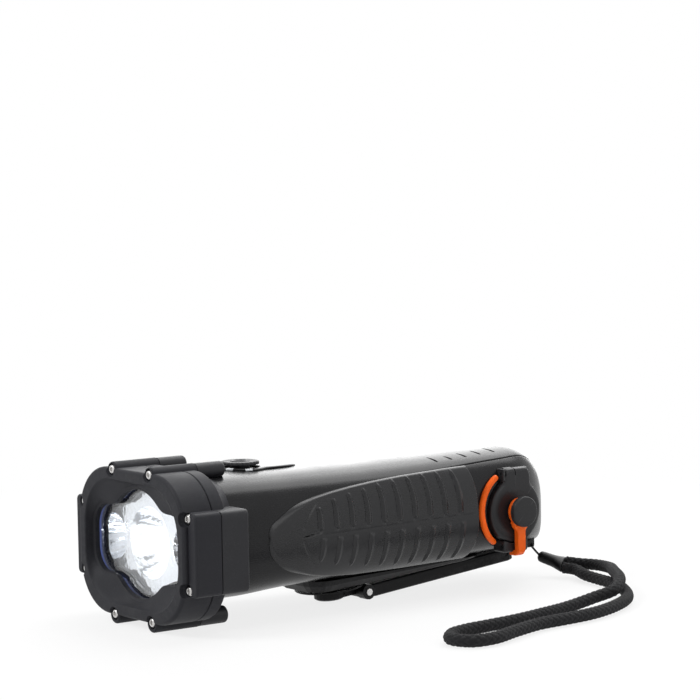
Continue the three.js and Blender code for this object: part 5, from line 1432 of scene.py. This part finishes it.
@dataclass
class Grip:
    """Leaf-shaped rubber grip on each flank, with two rows of raised ribs."""

    palette: Palette
    tube: TubeForm
    start: float = 44.2
    end: float = 151.4
    face: float = 1.75
    root: float = 0.15
    end_bow: float = 0.008
    count: int = 10
    rib_width: float = 2.7
    pitch: float = 7.98
    upper_rise: float = 1.0
    lower_rise: float = 0.75

    def heights(self, y: Array) -> tuple[Array, Array]:
        """Lower and upper edge of the leaf along the torch.

        Both edges pass through their stations over the root of the distance from the tip, and a short
        average rounds them.
        """
        top = np.array([[44.2, 1.5], [44.5, 4.4], [45.7, 6.3], [49, 8.4], [52.5, 10.5], [56.4, 12.4], [61.2, 14.0],
                        [66.7, 15.3], [75.7, 16.7], [86, 17.8], [98.8, 18.8], [113, 19.6], [137, 20.4],
                        [151.4, 20.6]])
        low = np.array([[44.2, 1.5], [44.45, -3.0], [45.0, -5.0], [47.3, -8.0], [51.2, -11.1], [55.8, -13.1],
                        [61.5, -14.7], [67.1, -15.9], [73.7, -16.9], [90, -18.0], [120, -18.3], [151.4, -18.1]])
        root = np.linspace(0, np.sqrt(self.end - self.start), 900)
        window = np.hanning(41)
        edges = []
        for table in (low, top):
            raw = np.interp(root, np.sqrt(table[:, 0] - self.start), table[:, 1])
            padded = np.concatenate([2 * raw[0] - raw[20:0:-1], raw, 2 * raw[-1] - raw[-2:-22:-1]])
            smooth = np.convolve(padded, window / window.sum(), "valid")
            edges.append(np.interp(np.sqrt(np.clip(y - self.start, 0, None)), root, smooth))
        return edges[0], edges[1]

    def ribs(self, y: Array, height: Array) -> Array:
        """Height of the ribs.

        Each rib rises from a narrow valley to its crest and falls gently behind, and a dimple ends the upper
        ones in the middle of the leaf. A rib's front side moves forward with the square of its share from
        root to tip, and its width closes towards the tip.

        Args:
            y: Places along the torch.
            height: Heights on the flank.

        Returns:
            The extra height.
        """
        tip = np.interp(y, [66, 69.4, 76.4, 83.6, 91.1, 98.6, 106.6, 114.8, 122.5, 138.9, 146],
                        [10.4, 12.2, 14.2, 15.5, 16.5, 17.5, 18.2, 18.9, 19.3, 19.5, 19.5])
        rise = np.zeros_like(y)
        for upper, first, last, full, start, lean in ((True, 2.3, tip, self.upper_rise, 67.7, -0.3),
                                                      (False, -1.0, -tip * 0.84, self.lower_rise, 69.0, -0.8)):
            share = (height - first) / (last - first)
            kept = np.clip(share, 0, 1)
            front = start + lean * kept**2
            tight = self.pitch - (0.24 * kept**2 if upper else 0.0)
            index = np.floor((y - front) / tight)
            width = self.rib_width * np.sqrt(np.clip(1.02 - kept**3, 0.02, 1))
            across = (y - front - index * tight) / width
            crest = ease(across / 0.42) * np.clip((1 - across) / 0.58, 0, 1) ** 0.8
            nearest = np.clip(np.round((y - front) / tight), 0, self.count - 1)
            behind = y - front - nearest * tight
            rise -= np.exp(-(((behind + 0.2) / 0.24) ** 2)) * 0.3 * ease(share / 0.1) * ease((1 - share) / 0.1)
            if upper:
                rise -= 0.6 * np.exp(-(((height - first + 0.35) / 0.42) ** 2) - ((behind - 1.2) / 0.85) ** 2)
            body = ease(share / (0.035 if upper else 0.08)) * ease((1 - share) / 0.12)
            inside = (index >= 0) & (index < self.count) & (across > 0) & (across < 1)
            rise += np.where(inside, full * 1.25 * crest * body, 0)
        return rise

    @staticmethod
    def lines(y: Array, height: Array) -> Array:
        """Depth of the centre line, the dark wedge before it and the arc that bounds the tip's field."""
        middle = 0.1 + (y - 60) * 0.0115
        centre = 0.22 * np.exp(-(((height - middle) / 0.28) ** 2)) * ease((y - 69) / 1.5) * ease((149 - y) / 2)
        across = (height - 0.1 - (y - 60) * 0.14) / (0.18 + 0.05 * np.clip(y - 60, 0, 5))
        wedge = 0.7 * np.exp(-(across**2)) * ease((y - 59.5) / 2) * ease((69.6 - y) / 1.2)
        reach = np.abs(height - 0.8)
        arc = 0.3 * np.exp(-(((y - 60.5 - 0.045 * reach**2) / 0.55) ** 2))
        return centre + wedge + arc * ease((reach - 1.6) / 1.5) * ease((12.6 - reach) / 2)

    def build(self, side: float, name: str) -> bpy.types.Object:
        """One grip: a bevelled border, the face with ribs and lines, and a plain face on the tube."""
        columns, rows = 430, 110
        share = np.linspace(0, 1, columns)
        y = self.start + (self.end - self.start) * (0.8 * share + 0.2 * share**3) ** 1.12
        low, high = self.heights(y)
        part = np.linspace(0, 1, rows)
        part = 0.8 * part + 0.2 * ease(part)
        level = low[:, None] + (high - low)[:, None] * part
        y = np.repeat(y[:, None], rows, axis=1)
        bow = self.end_bow * (level + 2.0) ** 2
        y = y - bow * ease((y - 128) / 23)
        turn = self.tube.turn_at(y, level)
        height = self.tube.flank(y, turn)[..., 2]
        slopes = [np.gradient(edge)[:, None] / np.gradient(y[:, 0])[:, None] for edge in (low, high)]
        below = (height - low[:, None]) / np.sqrt(1 + slopes[0] ** 2)
        above = (high[:, None] - height) / np.sqrt(1 + slopes[1] ** 2)
        from_end = self.end - bow - y
        wide = np.interp(y, [44, 56, 66, 151], [3.0, 2.2, 1.3, 1.3])
        into = np.minimum(np.minimum(below, above) / wide, from_end / 0.9)
        into[:, [0, -1]] = 0
        into[[0, -1]] = 0
        into = np.clip(into, 0, 1)
        inside = ease((into * wide - 1.0) / 0.5)
        face = self.face * np.interp(y, [44, 50, 62, 80], [0.5, 0.56, 0.82, 1.0])
        lift = self.root + (face - self.root) * np.sin(into * np.pi / 2) ** 0.9
        lift = lift + (self.ribs(y, height) - self.lines(y, height)) * inside
        outer = self.tube.flank(y, turn, lift, side)
        inner = self.tube.flank(y, turn, np.full_like(lift, self.root * 0.2), side)
        keep = np.zeros_like(lift, dtype=bool)
        keep[:, [0, -1]] = True
        keep[[0, -1]] = True
        inner[keep] = outer[keep]
        return piece(name, solid(name, outer, inner), self.palette.rubber, Body.TORCH,
                     (name.replace("_pad", ""),), sharp=50.0)


@dataclass
class Button:
    """Rubber button in a drop-shaped gloss surround with two indicator windows."""

    palette: Palette
    tube: TubeForm
    place: float = BUTTON_PLACE
    radius: float = 7.6
    surround: float = 10.6
    tip: float = 26.0
    hole: float = 7.95
    disc_top: float = 28.9
    disc_base: float = 27.3
    stem_base: float = 24.4

    def plate(self) -> bpy.types.Object:
        """The surround: a round outline drawn out to a point towards the tail, lying on the tube."""
        turn = np.linspace(0, TURN, 289)
        point = np.maximum(0, np.sin(turn))
        reach = self.surround + (self.tip - self.surround) * point**7
        x, y = reach * np.cos(turn) * (1 - 0.1 * point), reach * np.sin(turn)
        rows = []
        for scale, lift in ((1.0, -0.7), (1.0, 0.35), (0.985, 0.62), (0.95, 0.84), (0.86, 0.95)):
            over = self.tube.top_over(x * scale, self.place + y * scale)
            rows.append(np.stack([x * scale, self.place + y * scale, over + lift], axis=-1))
        for radius, lift in ((self.hole + 0.35, 0.95), (self.hole, 0.6), (self.hole, -0.7)):
            ring = np.stack([radius * np.cos(turn), self.place + radius * np.sin(turn)], axis=-1)
            over = self.tube.top_over(ring[:, 0], ring[:, 1])
            rows.append(np.concatenate([ring, over[:, None] + lift], axis=1))
        grid = np.array([*rows, rows[0]])
        return piece("surround_plate", solid("surround", grid), self.palette.gloss, Body.TORCH,
                     ("button_surround",))

    def windows(self) -> None:
        """The two indicator windows, let into the surround's rim beside the button."""
        for name, turn in (("indicator_1", -1.01), ("indicator_2", -0.24)):
            box = rounded_box(np.array([-1.5, 9.2, 0.1]), np.array([1.5, 10.75, 1.0]), 0.3, "z")
            spin = np.pi / 2 - turn
            x = box[..., 0] * np.cos(spin) + box[..., 1] * np.sin(spin)
            y = -box[..., 0] * np.sin(spin) + box[..., 1] * np.cos(spin) + self.place
            over = np.array([10.0 * np.cos(turn), self.place + 10.0 * np.sin(turn)])
            base = float(self.tube.top_over(over[0], over[1]))
            grid = np.stack([x, y, base + box[..., 2]], axis=-1)
            piece(f"{name}_window", solid(name, grid), self.palette.window, Body.TORCH,
                  (name,))

    def cap(self) -> bpy.types.Object:
        """The button: a thick disc with a scalloped rim and a raised ring on its dished top."""
        top, base, full = self.disc_top, self.disc_base, self.radius
        turn = np.linspace(0, TURN, 289)
        corners = np.array([[0, top - 0.55], [2.2, top - 0.5], [2.6, top - 0.05], [3.8, top - 0.03],
                            [4.2, top - 0.45], [6.0, top - 0.2], [full - 0.25, top - 0.3], [full, top - 0.8],
                            [full, base], [4.0, base], [4.0, self.stem_base], [0, self.stem_base]])
        profile = filleted(corners, np.array([0.3, 0.25, 0.25, 0.3, 0.5, 0.3, 0.3, 0.2, 0.2, 0.2]), 5)
        rim = np.clip(1 - np.abs(profile[:, :1] - self.radius) / 0.9, 0, 1)
        radius = profile[:, :1] * (1 - 0.016 * np.cos(turn * 26) * rim)
        height = np.repeat(profile[:, 1:], len(turn), axis=1)
        grid = np.stack([radius * np.cos(turn), self.place + radius * np.sin(turn), height], axis=-1)
        return piece("button_cap", solid("button", grid), self.palette.button, Body.BUTTON,
                     ("power_button",))


@dataclass
class Lanyard:
    """Thin string, smooth sleeve and a braided loop that lies on the floor."""

    palette: Palette
    radius: float = 2.5
    level: float = -29.975
    stitch: float = 3.0
    plait_depth: float = 0.5
    sleeve_start: Array = field(default_factory=lambda: np.array([10.5, 199.2, -23.7]))
    sleeve_end: Array = field(default_factory=lambda: np.array([20.3, 205.0, -27.2]))
    sleeve_way: Array = field(default_factory=lambda: unit(np.array([0.82, 0.56, -0.1])))
    sleeve_side: Array = field(default_factory=lambda: np.array([0.508, -0.8, -0.318]))

    def route(self) -> Array:
        """Points that the cord follows, from the sleeve out along the floor and back."""
        along, level = self.sleeve_way, self.level
        far = np.array([
            [33, 212.2, -26.6], [47, 207, -25.6], [59, 198.4, -24.7], [77.5, 184.6, -24.7], [85.5, 174, -26.6],
            [85, 163.5, -28.6], [88, 147.3, level], [92.8, 130, level], [96.6, 113, level], [98.6, 97, level],
            [99.8, 86, level], [103, 76.5, level], [110.5, 70, level], [118.4, 73, level], [119.4, 83, level],
            [113.5, 99, level], [108.5, 115, level], [107.2, 130, level], [105.2, 145, level], [99.4, 161, level],
            [89.3, 177.4, level], [77.2, 188.2, level], [60.5, 198, level], [48.4, 200.9, level], [37, 202.6, -29.5]])
        starts = [self.sleeve_end + self.sleeve_side * side * 2.75 + along * 0.3 for side in (-1, 1)]
        return np.concatenate([[starts[0], starts[0] + along * 5.0], far, [starts[1] + along * 5.0, starts[1]]])

    @staticmethod
    def smooth(points: Array, steps: int) -> Array:
        """Centripetal spline through the points, at equal steps along its length.

        Between two points it is a cubic whose end slopes come from the neighbours, weighted by the
        fourth root of the squared distances.

        Args:
            points: Points to pass through.
            steps: Number of points returned.

        Returns:
            Points on the spline.
        """
        padded = np.concatenate([[2 * points[0] - points[1]], points, [2 * points[-1] - points[-2]]])
        gap = np.sum(np.diff(padded, axis=0) ** 2, axis=1) ** 0.25
        gap = np.maximum(gap, 1e-4)
        p0, p1, p2, p3 = padded[:-3], padded[1:-2], padded[2:-1], padded[3:]
        d0, d1, d2 = gap[:-2, None], gap[1:-1, None], gap[2:, None]
        start = ((p1 - p0) / d0 - (p2 - p0) / (d0 + d1) + (p2 - p1) / d1) * d1
        end = ((p2 - p1) / d1 - (p3 - p1) / (d1 + d2) + (p3 - p2) / d2) * d1
        t = np.linspace(0, 1, 41)[None, :, None][:, :-1]
        curve = ((2 * t**3 - 3 * t**2 + 1) * p1[:, None] + (t**3 - 2 * t**2 + t) * start[:, None]
                 + (-2 * t**3 + 3 * t**2) * p2[:, None] + (t**3 - t**2) * end[:, None])
        dense = np.concatenate([curve.reshape(-1, 3), points[-1:]])
        length = np.concatenate([[0], np.cumsum(np.linalg.norm(np.diff(dense, axis=0), axis=1))])
        at = np.linspace(0, length[-1], steps)
        return np.stack([np.interp(at, length, dense[:, k]) for k in range(3)], axis=-1)

    def build(self) -> None:
        """The string, the sleeve and the braided loop.

        Two families of threads wind round the loop, one rising and one falling. Their crossings take
        turns at the top like squares of a board, and each thread is round across and dips at its ends.
        """
        path = self.smooth(self.route(), 1500)
        length = float(np.linalg.norm(np.diff(path, axis=0), axis=1).sum())
        count = 36
        turn = np.linspace(0, TURN, count + 1)
        at = np.linspace(0, length, len(path))
        rising = at[:, None] / self.stitch * np.pi + 3 * turn
        falling = at[:, None] / self.stitch * np.pi - 3 * turn
        over = (np.floor(rising / np.pi) + np.floor(falling / np.pi)) % 2 == 0
        first, second = np.abs(np.sin(rising)), np.abs(np.sin(falling))
        plait = np.where(over, first**0.7 * (0.55 + 0.45 * second**0.5), second**0.7 * (0.55 + 0.45 * first**0.5))
        lift = self.plait_depth * (plait - 1)
        grid = tube(path, np.full(len(path), self.radius), count, lift)
        chart = np.stack(np.broadcast_arrays(at[:, None] / 15.7, turn[None] / TURN), axis=-1)
        loop = Skin().add_closed(grid, chart).mesh("loop")
        cord = piece("braided_loop", loop, self.palette.braid, Body.TORCH, ("lanyard_cord",),
                     sharp=80.0)
        sleeve = self.sleeve()
        string = self.string()
        LOG.info("lanyard loop is %.1f mm long", length)

    def sleeve(self) -> bpy.types.Object:
        """The moulded sleeve: an oval tube that widens from the string to the two cords."""
        axis = self.sleeve_end - self.sleeve_start
        share = np.concatenate([[0, 0, 0.03], np.linspace(0.08, 0.97, 14), [1.0, 1.0]])
        wide = np.interp(share, [0, 0.03, 0.08, 0.2, 0.6, 0.97, 1], [1.3, 1.8, 2.35, 2.6, 3.1, 5.3, 5.1])
        tall = np.interp(share, [0, 0.03, 0.08, 0.2, 0.6, 0.97, 1], [1.3, 1.8, 2.3, 2.45, 2.45, 2.5, 2.3])
        wide[[0, -1]] = 0
        tall[[0, -1]] = 0
        bend = (share**2)[:, None]
        along = unit(unit(axis) * (1 - bend) + self.sleeve_way * bend)
        upper = unit(np.cross(self.sleeve_side, along))
        across = unit(np.cross(along, upper))
        turn = np.linspace(0, TURN, 37)
        centre = self.sleeve_start + axis * share[:, None]
        sideways, upwards = (wide[:, None] * np.cos(turn))[..., None], (tall[:, None] * np.sin(turn))[..., None]
        grid = centre[:, None] + across[:, None] * sideways + upper[:, None] * upwards
        return piece("cord_sleeve", solid("sleeve", grid), self.palette.keel, Body.TORCH,
                     ("lanyard_sleeve",), sharp=60.0)

    def string(self) -> bpy.types.Object:
        """The thin string from the lug under the tail to the sleeve."""
        start = np.array([12.5, 192.6, -17.9])
        end = self.sleeve_start + unit(self.sleeve_end - self.sleeve_start) * 0.8
        middle = (start + end) / 2 + np.array([0.0, 0.2, -0.35])
        path = self.smooth(np.array([start, middle, end]), 60)
        turn = np.linspace(0, TURN, 17)
        twist = 0.07 * np.cos(3 * turn[None] + np.linspace(0, 60, 60)[:, None]) - 0.07
        string = Skin().add_closed(tube(path, np.full(60, 0.5), 16, twist)).mesh("string")
        return piece("lanyard_thread", string, self.palette.braid, Body.TORCH, ("lanyard_string",),
                     sharp=60.0)


@dataclass
class InnerWorks:
    """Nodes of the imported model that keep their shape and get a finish."""

    palette: Palette
    nodes: dict[str, bpy.types.Object]

    def dress(self) -> None:
        """Gives each kept node its finish, by the words in its name."""
        look = self.palette
        rules = {
            "gasket": look.rubber, "emitter_board": look.board, "emitter": look.emitter, "indicator": look.window,
            "socket": look.steel, "gearbox_cover": look.keel, "gear": look.nylon, "rotor": look.magnet,
            "stator": look.copper, "tray": look.nylon, "cell": look.wrap, "circuit": look.board,
            "switch": look.gloss, "knob_pin": look.keel, "knob_grip": look.rubber, "knob_stem": look.steel,
            "pin": look.steel, "screw": look.steel, "hub": look.keel, "arm": look.keel,
        }
        for name, node in self.nodes.items():
            if node.hide_render:
                continue
            order = ["gearbox_screw", *rules] if "screw" in name else list(rules)
            found = next((rules.get(word, look.steel) for word in order if word in name), look.shell)
            node.data.materials.clear()
            node.data.materials.append(found)
            LOG.info("kept node %s has %s", name, found.name)


@dataclass
class Studio:
    """Floor, lights, world and the camera at the photograph's angle."""

    azimuth: float = 53.5
    elevation: float = 3.9
    roll: float = -1.0
    focal_pixels: float = 2463.0
    photo_pixels: float = 700.0
    sensor: float = 36.0
    fill: float = 0.38
    camera_place: tuple[float, float, float] = (811.3, -595.1, 171.2)

    def camera(self) -> None:
        """Places the camera: its back axis follows azimuth and elevation, and the roll turns it about that."""
        a, e, r = np.radians([self.azimuth, self.elevation, self.roll])
        back = np.array([np.sin(a) * np.cos(e), -np.cos(a) * np.cos(e), np.sin(e)])
        level = np.array([np.cos(a), np.sin(a), 0.0])
        upper = np.cross(back, level)
        right = np.cos(r) * level + np.sin(r) * upper
        up = -np.sin(r) * level + np.cos(r) * upper
        data = bpy.data.cameras.new("photo_camera")
        data.lens, data.sensor_width = self.focal_pixels / self.photo_pixels * self.sensor, self.sensor
        data.clip_start, data.clip_end = 0.01, 50.0
        camera = shown("photo_camera", data)
        matrix = np.eye(4)
        matrix[:3, 0], matrix[:3, 1], matrix[:3, 2] = right, up, back
        matrix[:3, 3] = np.array(self.camera_place) * METRE
        camera.matrix_world = Matrix(matrix.tolist())
        bpy.context.scene.camera = camera

    def floor(self) -> None:
        """A pale floor that keeps the shadow near the torch and turns white with distance from it."""
        mesh = bpy.data.meshes.new("studio_floor")
        mesh.from_pydata([(-8, -8, 0), (8, -8, 0), (8, 8, 0), (-8, 8, 0)], [], [(0, 1, 2, 3)])
        shown("studio_floor", mesh)
        material, wiring = Wiring.of_material("floor_paper")
        plain = wiring.node("ShaderNodeBsdfPrincipled", Roughness=0.9, Base_Color=(0.86, 0.86, 0.86, 1),
                            Specular_IOR_Level=0.1)
        lit = wiring.node("ShaderNodeEmission")
        both = wiring.node("ShaderNodeMixShader")
        place = wiring.node("ShaderNodeTexCoord").outputs["Object"]
        reach = wiring.node("ShaderNodeVectorMath", operation="LENGTH")
        wiring.join(place, reach.inputs[0])
        share = wiring.spread(reach.outputs["Value"], 0.12, 0.42, 0.8, 1.0)
        wiring.join(wiring.sum("MULTIPLY", wiring.seen(), share), both.inputs[0])
        wiring.join(plain.outputs[0], both.inputs[1])
        wiring.join(lit.outputs[0], both.inputs[2])
        wiring.show(both)
        mesh.materials.append(material)

    def world(self) -> None:
        """A white surround for the camera, gloss and glass, and a softer one for the fill light."""
        world = bpy.data.worlds.new("studio_world")
        bpy.context.scene.world = world
        world.use_nodes = True
        world.node_tree.nodes.clear()
        wiring = Wiring(world.node_tree)
        shade = wiring.node("ShaderNodeBackground", Color=(1, 1, 1, 1))
        wiring.join(wiring.spread(wiring.seen(), 0, 1, self.fill, 1.0), shade.inputs["Strength"])
        wiring.show(shade, "ShaderNodeOutputWorld")

    def lamps(self) -> None:
        """Large soft lamps: above, at the front left, weak on the right, and behind for the sheen on top."""
        for name, place, size, power in (
                ("top_softbox", (-0.2, 0.7, 1.3), 1.1, 12.0), ("front_softbox", (-0.35, -1.15, 1.15), 0.6, 13.0),
                ("side_fill", (1.4, 0.3, 0.8), 0.8, 3.0), ("back_softbox", (-1.15, 0.95, 0.5), 1.4, 16.0)):
            data = bpy.data.lights.new(name, "AREA")
            data.shape, data.size, data.energy = "SQUARE", size, power
            lamp = shown(name, data)
            aim = unit(np.array(place) - np.array([0.0, 0.0, 0.03]))
            side = unit(np.cross(np.array([0.0, 0.0, 1.0]), aim))
            matrix = np.eye(4)
            matrix[:3, 0], matrix[:3, 1], matrix[:3, 2], matrix[:3, 3] = side, np.cross(aim, side), aim, place
            lamp.matrix_world = Matrix(matrix.tolist())

    def build(self) -> None:
        """Sets up camera, floor, world and lamps, with plain view settings."""
        self.camera()
        self.floor()
        self.world()
        self.lamps()
        bpy.context.scene.view_settings.view_transform = "Standard"


def main() -> None:
    """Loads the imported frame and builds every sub-assembly."""
    logging.basicConfig(level=logging.INFO, format="%(name)s: %(message)s")
    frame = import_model()
    Studio().build()
    palette = Palette()
    tube = TubeForm()
    Lanyard(palette).build()
    head = Head(palette, tube)
    head.bezel()
    head.flange()
    head.screws()
    optics = Optics(palette, head)
    optics.lens()
    optics.reflector()
    port = Port(palette, tube)
    housing = Housing(palette, tube, port, head)
    housing.shell()
    housing.lug()
    port.cover()
    port.strap()
    port.seal()
    port.ears()
    grip = Grip(palette, tube)
    grip.build(1.0, "grip_right_pad")
    grip.build(-1.0, "grip_left_pad")
    button = Button(palette, tube)
    button.plate()
    button.windows()
    button.cap()
    InnerWorks(palette, frame["nodes"]).dress()
    bpy.context.view_layer.update()


if __name__ == "__main__":
    main()
